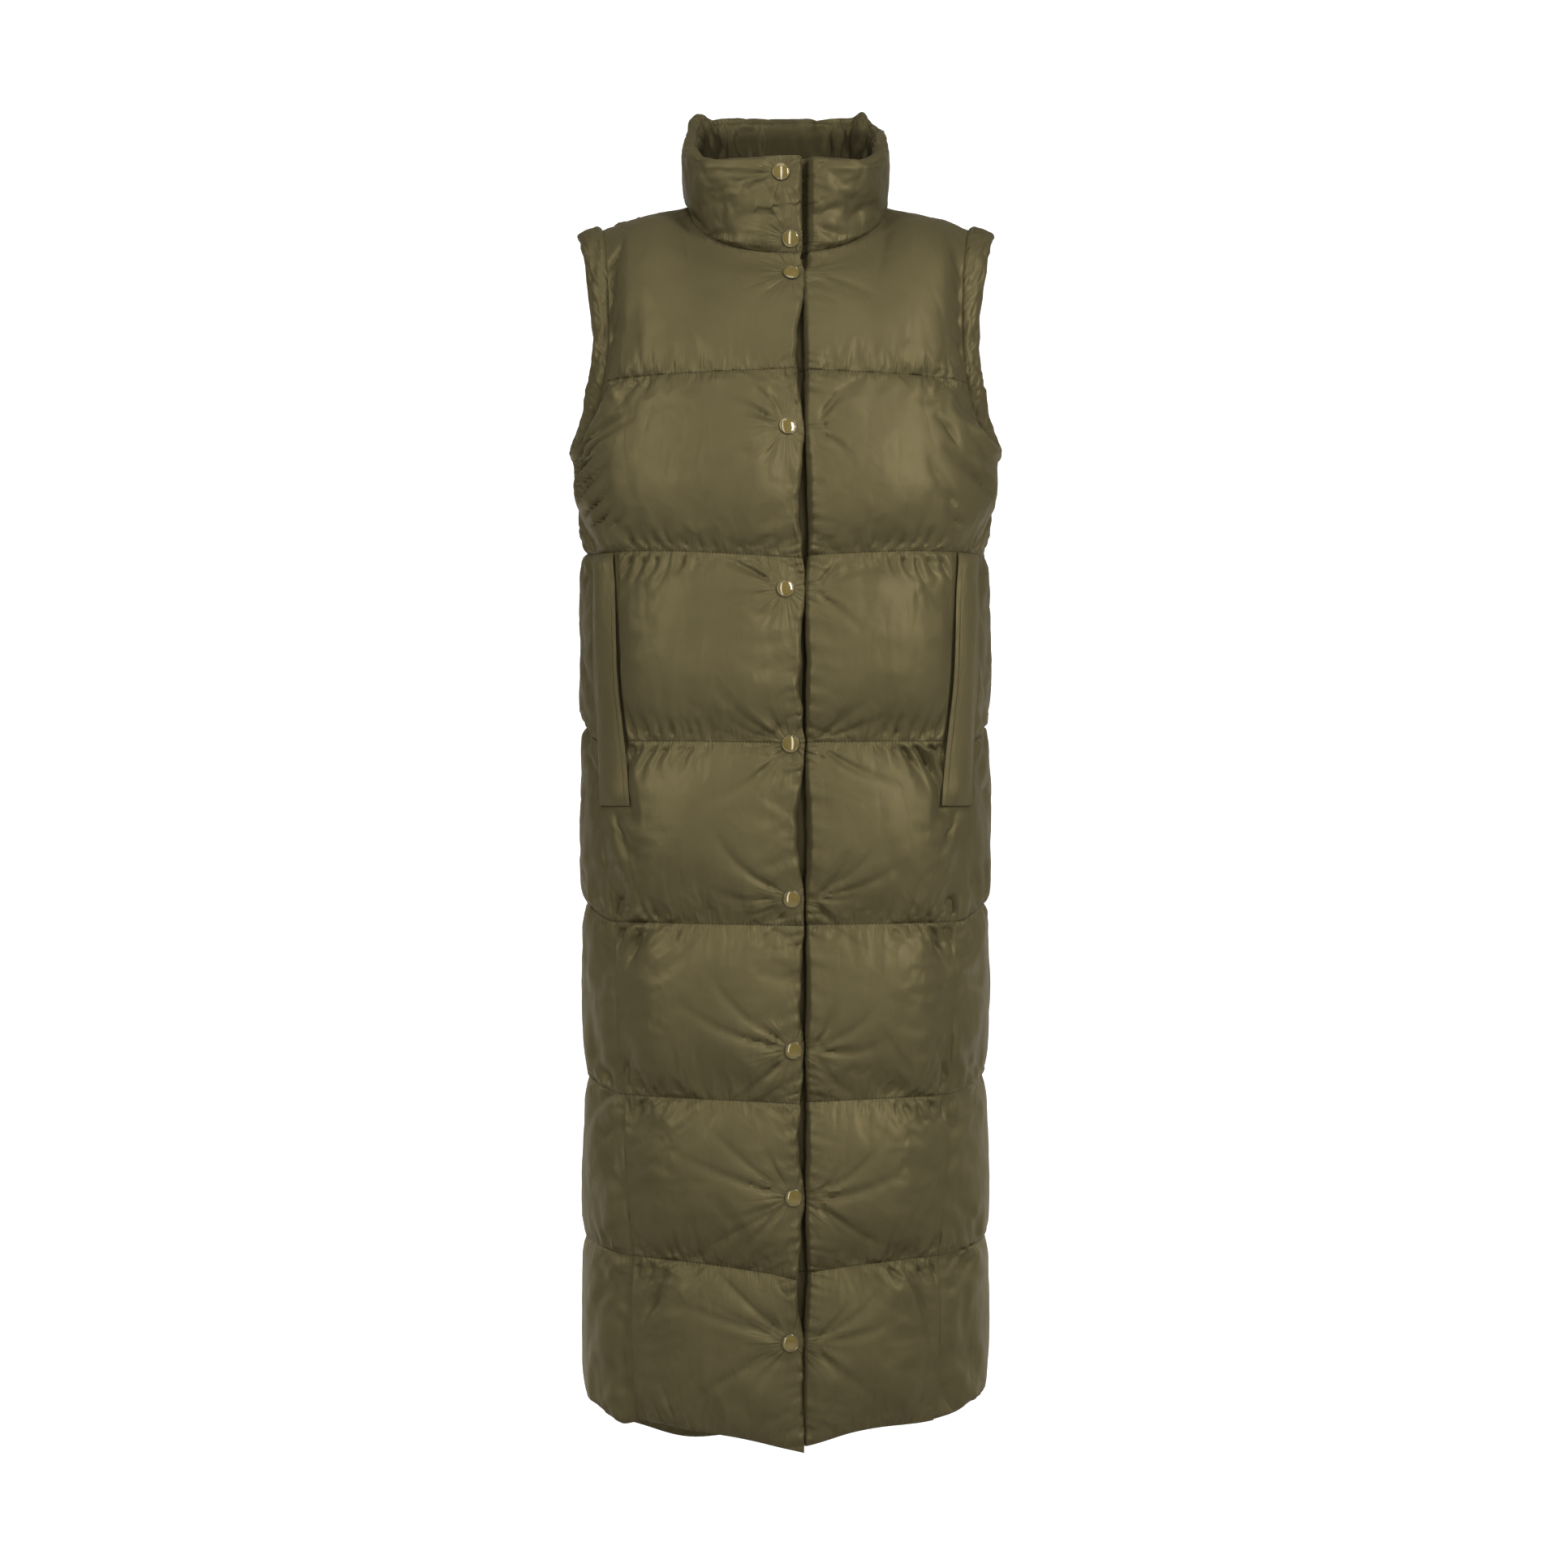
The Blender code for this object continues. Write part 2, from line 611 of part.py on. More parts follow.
def make_bands(cloth, rows, front, front_normals, back, back_normals):
    """A narrow padded ring sewn round each armhole, which stands out from the body."""
    seam, facing = armhole_edge(front, front_normals, rows)
    back_seam, back_facing = armhole_edge(back, back_normals, rows)
    seam = np.concatenate((seam, back_seam[-2:0:-1]))
    facing = np.concatenate((facing, back_facing[-2:0:-1]))
    run = np.roll(seam, -1, 0) - np.roll(seam, 1, 0)
    run /= np.linalg.norm(run, axis=1, keepdims=True)
    out = np.cross(run, facing)
    inward = (seam.mean(0) - seam) * BAND_CENTRE_PULL
    out *= np.sign((out * ((1.0, 0.0, 0.0) + inward)).sum(1, keepdims=True))
    out = out / np.linalg.norm(out, axis=1, keepdims=True) + (BAND_FLARE, 0.0, 0.0)
    out /= np.linalg.norm(out, axis=1, keepdims=True)
    thick = np.cross(out, run)
    thick /= np.linalg.norm(thick, axis=1, keepdims=True)
    thick *= np.sign((thick * facing).sum(1, keepdims=True))
    middle = seam - facing * WALL / 2
    rings = []
    for centre, way, up in zip(middle, out, thick):
        top = [centre + way * a + up * h for a, h in BAND_SECTION]
        low = [centre + way * a - up * h for a, h in BAND_SECTION]
        rings.append(np.array(top + low[::-1]))
    new_object("armhole_band_left", loft(rings, closed=True), cloth)
    new_object("armhole_band_right", loft([ring * MIRROR for ring in rings], closed=True), cloth)


def cap_mesh():
    """A press-stud cap: a shallow dome on a narrow rim, turned about its own Z."""
    build = bmesh.new()
    verts = [build.verts.new((radius, 0.0, height)) for radius, height in CAP_PROFILE]
    edges = [build.edges.new(pair) for pair in zip(verts, verts[1:])]
    bmesh.ops.spin(
        build, geom=verts + edges, axis=(0, 0, 1), cent=(0, 0, 0),
        angle=2 * math.pi, steps=CAP_STEPS, use_merge=True,
    )
    bmesh.ops.remove_doubles(build, verts=build.verts, dist=1e-6)
    return build


def tree_of(obj):
    bpy.context.view_layer.update()
    return BVHTree.FromObject(obj, bpy.context.evaluated_depsgraph_get())


def make_caps(front_right, collar, enamel):
    """The caps, each 0.3 mm off the cloth under it and turned to face away from it."""
    trees = {True: tree_of(collar), False: tree_of(front_right)}
    rim = CAP_PROFILE[2][0]
    turns = [2 * math.pi * k / CAP_STEPS for k in range(CAP_STEPS)]
    for number, (x, z) in enumerate(CAP_CENTRES, 1):
        tree = trees[number <= COLLAR_CAPS]

        def cloth_at(across, up):
            return tree.ray_cast(Vector((x + across, -1.0, z + up)), Vector((0, 1, 0)))[0]

        centre = cloth_at(0.0, 0.0)
        right = cloth_at(rim, 0.0) - cloth_at(-rim, 0.0)
        up = cloth_at(0.0, rim) - cloth_at(0.0, -rim)
        normal = right.cross(up).normalized()
        under = [
            cloth_at(size * math.cos(turn), size * math.sin(turn))
            for size in (rim, rim / 2) for turn in turns
        ]
        highest = max([(hit - centre).dot(normal) for hit in under] + [0.0])
        cap = new_object(f"snap_cap_{number:02d}", cap_mesh(), enamel)
        cap.location = centre + normal * (highest + SEAM_GAP)
        cap.rotation_mode = "QUATERNION"
        cap.rotation_quaternion = normal.to_track_quat("Z", "Y")


def main():
    for old in list(bpy.data.objects):
        bpy.data.objects.remove(old, do_unlink=True)
    cloth = {
        name: material(f"{name}_nylon", OLIVE, 0.5)
        for name in ("front", "back", "collar", "band", "pocket")
    }
    rows = row_stations()
    front_right, front, front_normals, front_outer = make_fronts(cloth["front"], rows)
    back, back_normals = make_back(cloth["back"], rows)
    make_pocket_strips(cloth["pocket"], rows, front, front_normals, front_outer)
    collar = make_collar(cloth["collar"])
    make_bands(cloth["band"], rows, front, front_normals, back, back_normals)
    make_caps(front_right, collar, material("cap_enamel", ENAMEL, 0.2))


main()
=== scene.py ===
import math

import bmesh
import bpy
import numpy as np
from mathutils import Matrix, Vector, noise


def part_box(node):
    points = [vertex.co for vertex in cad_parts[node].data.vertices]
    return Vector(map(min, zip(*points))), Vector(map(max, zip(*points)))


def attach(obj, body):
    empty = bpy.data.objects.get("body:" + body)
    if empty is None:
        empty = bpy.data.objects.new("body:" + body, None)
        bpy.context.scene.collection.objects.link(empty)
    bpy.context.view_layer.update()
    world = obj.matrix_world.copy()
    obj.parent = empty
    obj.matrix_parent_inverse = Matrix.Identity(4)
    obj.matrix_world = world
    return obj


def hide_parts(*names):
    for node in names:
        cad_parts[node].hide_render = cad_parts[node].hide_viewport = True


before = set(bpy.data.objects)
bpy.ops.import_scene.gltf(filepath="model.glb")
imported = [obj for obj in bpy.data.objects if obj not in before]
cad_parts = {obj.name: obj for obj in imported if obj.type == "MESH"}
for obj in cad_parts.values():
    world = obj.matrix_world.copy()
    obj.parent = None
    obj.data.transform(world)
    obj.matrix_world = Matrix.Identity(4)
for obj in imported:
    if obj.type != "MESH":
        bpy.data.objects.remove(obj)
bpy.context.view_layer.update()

# %% [markdown]
# ## The body underneath
#
# Every panel lies on one smooth body, squarer than an ellipse in section. The body is described by
# a short table of level sections, as a dressmaker measures a stand: half width, depth to the front,
# depth to the back. A second table says where the quilting lines run. A curve through the lines of
# a table gives every height in between, so that the panels can be cut as finely as we like.
# %% The body's sections and the quilting lines
SECTION_NAMES = ("z", "half_width", "front", "back", "fullness", "seam_y")
SECTIONS = np.array((
    (-1.160, 0.179, 0.120, 0.119, 2.8, -0.100),
    (-1.098, 0.180, 0.122, 0.120, 2.8, -0.101),
    (-0.948, 0.182, 0.126, 0.124, 2.8, -0.103),
    (-0.804, 0.180, 0.127, 0.126, 2.8, -0.098),
    (-0.650, 0.182, 0.127, 0.126, 2.8, -0.092),
    (-0.554, 0.182, 0.126, 0.124, 2.8, -0.080),
    (-0.490, 0.182, 0.125, 0.122, 2.8, -0.075),
    (-0.326, 0.182, 0.123, 0.119, 2.7, -0.062),
    (-0.280, 0.186, 0.123, 0.119, 2.6, -0.030),
    (-0.243, 0.187, 0.122, 0.118, 2.6, 0.000),
    (-0.211, 0.185, 0.119, 0.117, 2.6, 0.000),
    (-0.172, 0.178, 0.114, 0.113, 2.6, 0.000),
    (-0.140, 0.176, 0.110, 0.110, 2.6, 0.000),
))
LINE_NAMES = ("row", "z_front", "z_side", "z_turn", "z_back")
LINES = np.array((
    (0.00, -1.122, -1.096, -1.088, -1.158),
    (1.00, -0.967, -0.950, -0.945, -0.956),
    (2.00, -0.813, -0.808, -0.799, -0.806),
    (3.00, -0.657, -0.655, -0.642, -0.650),
    (4.00, -0.497, -0.495, -0.481, -0.488),
    (5.00, -0.335, -0.326, -0.322, -0.328),
    (5.54, -0.250, -0.243, -0.243, -0.245),
    (6.00, -0.167, -0.172, -0.172, -0.163),
))
YOKE = 6
TOP = 7
ROW_HEIGHT = 0.155
print(len(SECTIONS), "sections and", len(LINES), "quilting lines, chambers up the coat:", TOP)

# %% A smooth curve through the lines of a table
def ease(x):
    """0 below 0, 1 above 1, and smooth between."""
    x = np.clip(x, 0.0, 1.0)
    return x * x * (3 - 2 * x)


def cubic(t, span, low, high, start, finish):
    """A curve from low to high over a span, with a slope at its start and at its finish."""
    return (
        (2 * t**3 - 3 * t**2 + 1) * low
        + (t**3 - 2 * t**2 + t) * span * start
        + (3 * t**2 - 2 * t**3) * high
        + (t**3 - t**2) * span * finish
    )


def read_table(table, names, name, at):
    """One column of a table at any heights, on a curve that never overshoots its lines."""
    keys, values = table[:, 0], table[:, names.index(name)]
    slopes = np.diff(values) / np.diff(keys)
    tangents = np.concatenate((slopes[:1], np.zeros(len(keys) - 2), slopes[-1:]))
    for k in range(1, len(keys) - 1):
        if slopes[k - 1] * slopes[k] > 0:
            tangents[k] = 2 / (1 / slopes[k - 1] + 1 / slopes[k])
    k = np.clip(np.searchsorted(keys, at) - 1, 0, len(keys) - 2)
    span = keys[k + 1] - keys[k]
    t = (at - keys[k]) / span
    return cubic(t, span, values[k], values[k + 1], tangents[k], tangents[k + 1])


def section(name, z):
    return read_table(SECTIONS, SECTION_NAMES, name, z)


def quilting(name, row):
    return read_table(LINES, LINE_NAMES, name, row)


def off_line(rows):
    """How far each row of points lies from the nearest quilting line, in metres."""
    return np.abs(rows - np.round(rows))[:, None] * ROW_HEIGHT


print("half width at the hem:", float(section("half_width", SECTIONS[0, 0])), "m")

# %% [markdown]
# ## From a section to a panel's row
#
# A panel's row is a stretch of one section. It is measured along the cloth with a tape, from the
# centre line to the side seam or to the armhole's edge, because cloth is cut by its length and not
# by its width as seen. A front's lines dip at the fastening edge, and the back's turn up at its sides.
# %% Walking round a section
UNDERARM_Z = -0.243
ARMHOLE_Z, ARMHOLE_HALF_HEIGHT, ARMHOLE_HALF_DEPTH = -0.133, 0.110, 0.065
LAP = 0.0145
SEAM_GAP = 0.0004
FRONT_DIP, BACK_DIP = 1.8, 3.5
BACK_TURN_SHARE, BACK_JOIN_SHARE, BACK_JOIN_REACH = 0.62, 0.85, 0.15


def oval(angle, half_width, front, back, fullness):
    """Points on an oval. Angle 0 is the centre front and a quarter turn is the wearer's left."""
    sine, cosine = np.sin(angle), np.cos(angle)
    depth = np.where(cosine > 0, front, back)
    x = half_width * np.sign(sine) * np.abs(sine) ** (2 / fullness)
    return x, -depth * np.sign(cosine) * np.abs(cosine) ** (2 / fullness)


def half_sections(z):
    """Level half sections, one line for each height, from centre front to centre back."""
    parts = [section(name, z)[:, None] for name in ("half_width", "front", "back", "fullness")]
    x, y = oval(np.linspace(0, math.pi, 361)[None, :], *parts)
    steps = np.hypot(np.diff(x, axis=1), np.diff(y, axis=1))
    return x, y, np.concatenate((np.zeros((len(z), 1)), np.cumsum(steps, axis=1)), axis=1)


def read_along(keys, wanted, values):
    """For each line of rising keys, the value where it passes the one wanted."""
    k = np.clip((keys < wanted[:, None]).sum(axis=1), 1, keys.shape[1] - 1)
    line = np.arange(len(k))
    low, high = keys[line, k - 1], keys[line, k]
    t = (wanted - low) / np.maximum(high - low, 1e-12)
    return values[line, k - 1] * (1 - t) + values[line, k] * t


def edge_depth(z, side):
    """How deep a panel's side edge lies: on the side seam or, above the underarm, on the armhole."""
    inside = np.clip(1 - ((z - ARMHOLE_Z) / ARMHOLE_HALF_HEIGHT) ** 2, 0, 1)
    return np.where(z <= UNDERARM_Z, section("seam_y", z), side * ARMHOLE_HALF_DEPTH * np.sqrt(inside))


print("underarm at", UNDERARM_Z, "m, lap", LAP, "m")

# %% One row of a front and of the back
def front_row(row, shares):
    """One level of the wearer's left front, from its free edge past the centre to the side."""
    z_side, z_front = quilting("z_side", row), quilting("z_front", row)
    z = z_side + (z_front - z_side) * (1 - shares) ** FRONT_DIP
    x, y, arcs = half_sections(z)
    reach = read_along(y, edge_depth(z, -1), arcs) - SEAM_GAP / 2
    at = -LAP + shares * (LAP + reach)
    found = (read_along(arcs, np.abs(at), x) * np.sign(at), read_along(arcs, np.abs(at), y), z)
    return np.column_stack(found)


def back_row(row, shares):
    """One level of the wearer's left half of the back, from the centre to the side."""
    z_turn, z_back = quilting("z_turn", row), quilting("z_back", row)
    z = z_turn + (z_back - z_turn) * (1 - np.minimum(shares / BACK_TURN_SHARE, 1) ** BACK_DIP)
    z += (quilting("z_side", row) - z_turn) * ease((shares - BACK_JOIN_SHARE) / BACK_JOIN_REACH)
    x, y, arcs = half_sections(z)
    whole = arcs[:, -1]
    reach = whole - read_along(y, edge_depth(z, 1), arcs) - SEAM_GAP / 2
    at = whole - shares * reach
    return np.column_stack((read_along(arcs, at, x), read_along(arcs, at, y), z))


print("a front's side edge at the hem:", front_row(0, np.array((0.0, 1.0)))[-1].round(3))

# %% [markdown]
# ## The neck and the shoulders
#
# Above the quilting line of the yoke the cloth rolls over the shoulder. Each line of the cut there
# is a cubic from the yoke line to the neckline or to the shoulder seam, with a lean at each end that
# says how it sets off and how it arrives.
# %% The yoke
NECK_HALF_WIDTH, NECK_FRONT, NECK_BACK, NECK_FULLNESS = 0.090, 0.077, 0.062, 2.2
NECK_FRONT_DROP, NECK_BACK_RISE = 0.058, 0.012
SHOULDER_X, SHOULDER_DROP = 0.172, 0.0225
FRONT_NECK_SHARE, BACK_NECK_SHARE = 0.57, 0.50
FRONT_YOKE_START, BACK_YOKE_START, SHOULDER_ROLL = (0.0, 0.10, 1.1), (0.0, -0.02, 1.1), 1.25
YOKE_TAPER, SHOULDER_TAPER, SHOULDER_SLOPE = 0.20, 0.15, 0.15
NECK_LEAN, NECK_RISE = (0.35, 0.35), (1.0, 0.6)
HEM_TILT = 0.0025


def arc_lengths(points):
    """Distances along a line of points."""
    steps = np.linalg.norm(np.diff(points, axis=0), axis=1)
    return np.concatenate(([0.0], np.cumsum(steps)))


def neckline(angle):
    """The seam between the body and the collar."""
    x, y = oval(angle, NECK_HALF_WIDTH, NECK_FRONT, NECK_BACK, NECK_FULLNESS)
    cosine = np.cos(angle)
    return np.stack((x, y, -cosine * np.where(cosine > 0, NECK_FRONT_DROP, NECK_BACK_RISE)), axis=-1)


def neck_angles(first_angle, shares):
    """The neckline's angles at shares of the way from a first angle to the shoulder."""
    angles = np.linspace(first_angle, math.pi / 2, 400)
    along = arc_lengths(neckline(angles))
    return np.interp(shares * along[-1], along, angles)


LAP_ANGLE = math.asin((LAP / NECK_HALF_WIDTH) ** (NECK_FULLNESS / 2))


def top_edge(shares, first_angle, neck_share, side_of_seam):
    """A panel's top edge: along the neckline to the shoulder, then along the shoulder."""
    points = neckline(neck_angles(first_angle, np.clip(shares / neck_share, 0, 1)))
    out = np.clip((shares - neck_share) / (1 - neck_share), 0, 1)
    points[:, 0] += out * (SHOULDER_X - NECK_HALF_WIDTH)
    points[:, 2] -= out * SHOULDER_DROP
    points[:, 1] += side_of_seam * SEAM_GAP / 2
    return points


print("neck", round(2 * NECK_HALF_WIDTH, 3), "m wide, shoulder seam ends at", SHOULDER_X, "m")

# %% Cutting a front and the back
def yoke_row(t, low, high, start, shares, neck_share, roll):
    """One level between the yoke line and the top edge."""
    span = np.linalg.norm(high - low, axis=1)[:, None]
    start = np.tile(start, (len(shares), 1))
    start[:, 0] -= YOKE_TAPER * shares**3
    on_neck = np.clip(shares / neck_share, 0, 1)[:, None]
    finish = -high / np.linalg.norm(high[:, :2], axis=1)[:, None] * (NECK_LEAN[0] + NECK_LEAN[1] * on_neck)
    finish[:, 2:] = NECK_RISE[0] - NECK_RISE[1] * on_neck
    blend = ease((shares / neck_share - 0.65) / 0.60)[:, None]
    finish = finish * (1 - blend) + np.array((0.0, roll, SHOULDER_SLOPE)) * blend
    finish[:, 0] += SHOULDER_TAPER * shares**3
    return cubic(t, span, low, high, start, finish)


def front_cut(rows, shares):
    """The wearer's left front, row by row from the hem to the neck."""
    low = front_row(YOKE, shares)
    high = top_edge(shares, -LAP_ANGLE, FRONT_NECK_SHARE, -1)
    return np.array([
        front_row(row, shares)
        if row <= YOKE
        else yoke_row(row - YOKE, low, high, FRONT_YOKE_START, shares, FRONT_NECK_SHARE, SHOULDER_ROLL)
        for row in rows
    ])


def back_cut(rows, shares):
    """The whole back, from the wearer's right side to the left, for shares from -1 to 1."""
    out = np.abs(shares)
    low = back_row(YOKE, out)
    high = top_edge(out, math.pi, BACK_NECK_SHARE, 1)
    found = []
    for row in rows:
        if row <= YOKE:
            points = back_row(row, out)
        else:
            points = yoke_row(row - YOKE, low, high, BACK_YOKE_START, out, BACK_NECK_SHARE, -SHOULDER_ROLL)
        points[:, 0] *= np.sign(shares + 1e-9)
        points[:, 2] += HEM_TILT * max(1 - row, 0.0) * points[:, 0] / np.abs(points[:, 0]).max()
        found.append(points)
    return np.array(found)


print("the front's hem is", round(float(arc_lengths(front_row(0, np.linspace(0, 1, 41)))[-1]), 3), "m wide")

# %% Which way the cloth faces
def outward(cut, rows, shares, neck_share, flip):
    """Unit normals of a cut, level on the body and square to the cloth on the yoke."""
    normal = np.cross(np.gradient(cut, axis=1), np.gradient(cut, axis=0)) * flip
    normal /= np.maximum(np.linalg.norm(normal, axis=2, keepdims=True), 1e-12)
    x, y, z = cut[..., 0], cut[..., 1], cut[..., 2]
    fullness = section("fullness", z)
    depth = np.where(y < 0, section("front", z), section("back", z))
    across = np.sign(x) * np.abs(x) ** (fullness - 1) / section("half_width", z) ** fullness
    level = np.stack((across, np.sign(y) * np.abs(y) ** (fullness - 1) / depth**fullness, 0 * z), axis=-1)
    level /= np.linalg.norm(level, axis=2, keepdims=True)
    level[rows > YOKE] = level[rows <= YOKE][-1]
    blend = ease((rows - YOKE) / 0.4)[:, None, None]
    normal = level * (1 - blend) + normal * blend
    normal[-1, np.abs(shares) >= neck_share, 1] = 0.0
    return normal / np.linalg.norm(normal, axis=2, keepdims=True)


print("normals are level up to row", YOKE)

# %% [markdown]
# ## Down in the chambers
#
# Between two quilting lines the cloth bulges, fullest a little below the middle because down sinks.
# The bulge dies away at the side seams, at the collar and along the fastening edge, which is rolled
# over into a soft rim. Two cells give that smooth fullness, and the creases come afterwards.
# %% How far each point of a panel stands off the body
WALL = 0.0024
INNER_SHARE = 0.35
FRONT_PUFF, BACK_PUFF, YOKE_PUFF, EDGE_PUFF = 0.016, 0.018, 0.008, 0.005
EDGE_ROLL, EDGE_RISE = 0.006, 0.045
SEAM_PUFF = 0.0050
NECK_PINCH = 0.035
FULLEST = 0.40  # a chamber's fullest line, as a share of its height
SIDE_REACH, BACK_RISE = 0.130, 0.090
UNDER_LAP_SINK, UNDER_LAP_WALL = 0.0105, 0.0035
POCKET_BOTTOM, POCKET_TOP, POCKET_WIDE, POCKET_PUFF = 3.63, 5.0, 0.031, 0.0035


def swell(rows):
    """A chamber's section: rounder below, where the down sinks, and a long slope above."""
    t = rows % 1.0
    below = 1 - (1 - np.clip(t / FULLEST, 0, 1)) ** 2.1
    above = np.cos(math.pi / 2 * np.clip((t - FULLEST) / (1 - FULLEST), 0, 1) ** 1.25)
    full = np.hypot(below * above, 0.62 * np.exp(-(((rows - YOKE) / 0.28) ** 2)))
    return np.where(rows > YOKE + 0.5, np.maximum(full, 0.2), full)


def row_arcs(cut):
    """Distances along each row of a cut."""
    steps = np.linalg.norm(np.diff(cut, axis=1), axis=2)
    return np.concatenate((np.zeros((len(cut), 1)), np.cumsum(steps, axis=1)), axis=1)


def clear_of_neck(rows, cut):
    """0 on the neckline and 1 a little way down the yoke."""
    seam = neckline(np.linspace(0, 2 * math.pi, 121))
    clear = np.ones(cut.shape[:2])
    near = rows > YOKE
    apart = np.linalg.norm(cut[near][:, :, None] - seam[None, None], axis=3).min(axis=2)
    clear[near] = ease(apart / NECK_PINCH)
    return clear


def rolled(distance, roll):
    """A quarter round: 0 on an edge, and 1 from its roll inwards."""
    return np.sqrt(1 - (1 - np.clip(distance / roll, 0, 1)) ** 2)


print("fullest at", FULLEST, "of a chamber's height:", round(float(swell(np.array(FULLEST))), 3))

# %% The fullness of the fronts and of the back
def full_height(rows, puff):
    """How high the chambers of each row rise: their own puff, less on the yoke."""
    return (YOKE_PUFF + (puff - YOKE_PUFF) * ease((YOKE + 0.20 - rows) / 0.55))[:, None]


def front_fill(rows, cut):
    """The smooth fullness of a front: a rim at its edge, flat under the strip, full between."""
    along = row_arcs(cut)
    from_side = along[:, -1:] - along
    height = full_height(rows, FRONT_PUFF)
    size = EDGE_PUFF + (height - EDGE_PUFF) * ease(along / EDGE_RISE)
    flat = POCKET_PUFF + (SEAM_PUFF - POCKET_PUFF) * np.exp(-from_side / 0.010)
    beside = flat + (size - POCKET_PUFF) * ease((from_side - POCKET_WIDE - 0.003) / 0.016)
    pocket = (ease((rows - POCKET_BOTTOM + 0.10) / 0.10) * (rows < POCKET_TOP))[:, None]
    open_side = SEAM_PUFF + (size - SEAM_PUFF) * ease(from_side / 0.040)
    on_torso = (rows < 5.5)[:, None]
    size = np.where(on_torso, beside * pocket + open_side * (1 - pocket), size * ease(from_side / 0.030))
    return size * swell(rows)[:, None] * clear_of_neck(rows, cut) * rolled(along, EDGE_ROLL)


def back_fill(rows, cut):
    """The smooth fullness of the back, which stays flatter round both sides."""
    along = row_arcs(cut)
    from_side = np.minimum(along, along[:, -1:] - along)
    height = full_height(rows, BACK_PUFF)
    flat_side = SIDE_REACH * (1 - ease((rows - 4.9) / 0.8))[:, None]
    at_seam = SEAM_PUFF * (1 - ease((rows - 5.3) / 0.3))[:, None]
    size = at_seam + (SEAM_PUFF - at_seam) * ease(from_side / 0.020)
    size += (height - SEAM_PUFF) * ease((from_side - flat_side) / BACK_RISE)
    return size * swell(rows)[:, None] * clear_of_neck(rows, cut)


print("front chambers", FRONT_PUFF, "m high, back", BACK_PUFF, "m")

# %% [markdown]
# ## Sewing a panel and blowing it up
#
# Nylon over down puckers along every seam, because the cloth is longer than the thread that holds
# it. No formula gives that as well as a short cloth simulation: the panel is pinned along its seams,
# made a few hundredths too long, and pushed outwards for a moment. Only the puckers are kept. They
# are laid over the smooth fullness from above, so the coat keeps its measured size.
# %% A grid of cloth, and the push of the down
SIM_FRAMES = 14
SNUG_LEVELS = 10
CLOTH_RULES = {
    "quality": 4, "mass": 0.3, "tension_stiffness": 15, "compression_stiffness": 15, "shear_stiffness": 5,
    "bending_stiffness": 0.5, "use_pressure": True, "uniform_pressure_force": 2.5,
    "vertex_group_mass": "seams", "vertex_group_shrink": "snug", "shrink_max": 0.0,
}


def cloth_grid(build, rows, columns):
    """A flat grid, with its vertices in order by rows of columns."""
    made = bmesh.ops.create_grid(build, x_segments=columns - 1, y_segments=rows - 1, size=0.5)["verts"]
    flat = np.array([vertex.co[:2] for vertex in made]) + 0.5
    order = np.round(flat[:, 1] * (rows - 1)) * columns + np.round(flat[:, 0] * (columns - 1))
    return [made[k] for k in np.argsort(order)]


def place(vertices, points):
    for vertex, point in zip(vertices, points.reshape(-1, 3)):
        vertex.co = point


print("cloth rules:", len(CLOTH_RULES))

# %% The push of the down
def blow_up(start, pinned, slack, flip):
    """Where the points of a pinned grid of cloth go when the down pushes them out."""
    rows, columns = start.shape[:2]
    build = bmesh.new()
    vertices = cloth_grid(build, rows, columns)
    place(vertices, start)
    if flip < 0:
        bmesh.ops.reverse_faces(build, faces=build.faces)
    build.verts.index_update()
    order = np.array([vertex.index for vertex in vertices])
    mesh = bpy.data.meshes.new("cloth_trial")
    build.to_mesh(mesh)
    build.free()
    trial = bpy.data.objects.new("cloth_trial", mesh)
    bpy.context.scene.collection.objects.link(trial)
    seams = trial.vertex_groups.new(name="seams")
    seams.add(order[pinned.ravel()].tolist(), 1.0, "REPLACE")
    snug = trial.vertex_groups.new(name="snug")
    snug_level = np.round((1 - slack / slack.max()) * SNUG_LEVELS).astype(int).ravel()
    for level in np.unique(snug_level):
        snug.add(order[snug_level == level].tolist(), level / SNUG_LEVELS, "REPLACE")
    cloth = trial.modifiers.new("down", "CLOTH")
    for name, value in CLOTH_RULES.items():
        setattr(cloth.settings, name, value)
    cloth.settings.shrink_min = -slack.max()
    cloth.settings.effector_weights.gravity = 0
    cloth.point_cache.frame_end = SIM_FRAMES
    for step in range(1, SIM_FRAMES + 1):
        bpy.context.scene.frame_set(step)
    shaped = trial.evaluated_get(bpy.context.evaluated_depsgraph_get()).to_mesh()
    found = np.empty(len(shaped.vertices) * 3)
    shaped.vertices.foreach_get("co", found)
    bpy.data.objects.remove(trial)
    bpy.data.meshes.remove(mesh)
    bpy.context.scene.frame_set(1)
    return found.reshape(-1, 3)[order].reshape(start.shape)


print("cloth runs for", SIM_FRAMES, "frames")

# %% [markdown]
# ## Keeping only the puckers
#
# A simulated panel never has quite the size that was asked for. So its height over the cut is
# compared with a softened copy of itself: the difference is the puckers alone, and these go on top
# of the smooth fullness. Softening is a short running mean, repeated three times.
# %% Softening and unevenness
def soft(values, steps):
    """Evens out an array by running a short window over it, rows and columns, three times."""
    for axis, reach in enumerate(steps):
        for _ in range(3):
            padded = np.pad(values, [(reach, reach) if k == axis else (0, 0) for k in (0, 1)], mode="edge")
            total = np.cumsum(padded, axis=axis)
            total = np.concatenate((np.zeros_like(np.take(total, [0], axis=axis)), total), axis=axis)
            span = 2 * reach + 1
            ends = np.take(total, range(span, total.shape[axis]), axis=axis)
            starts = np.take(total, range(total.shape[axis] - span), axis=axis)
            values = (ends - starts) / span
    return values


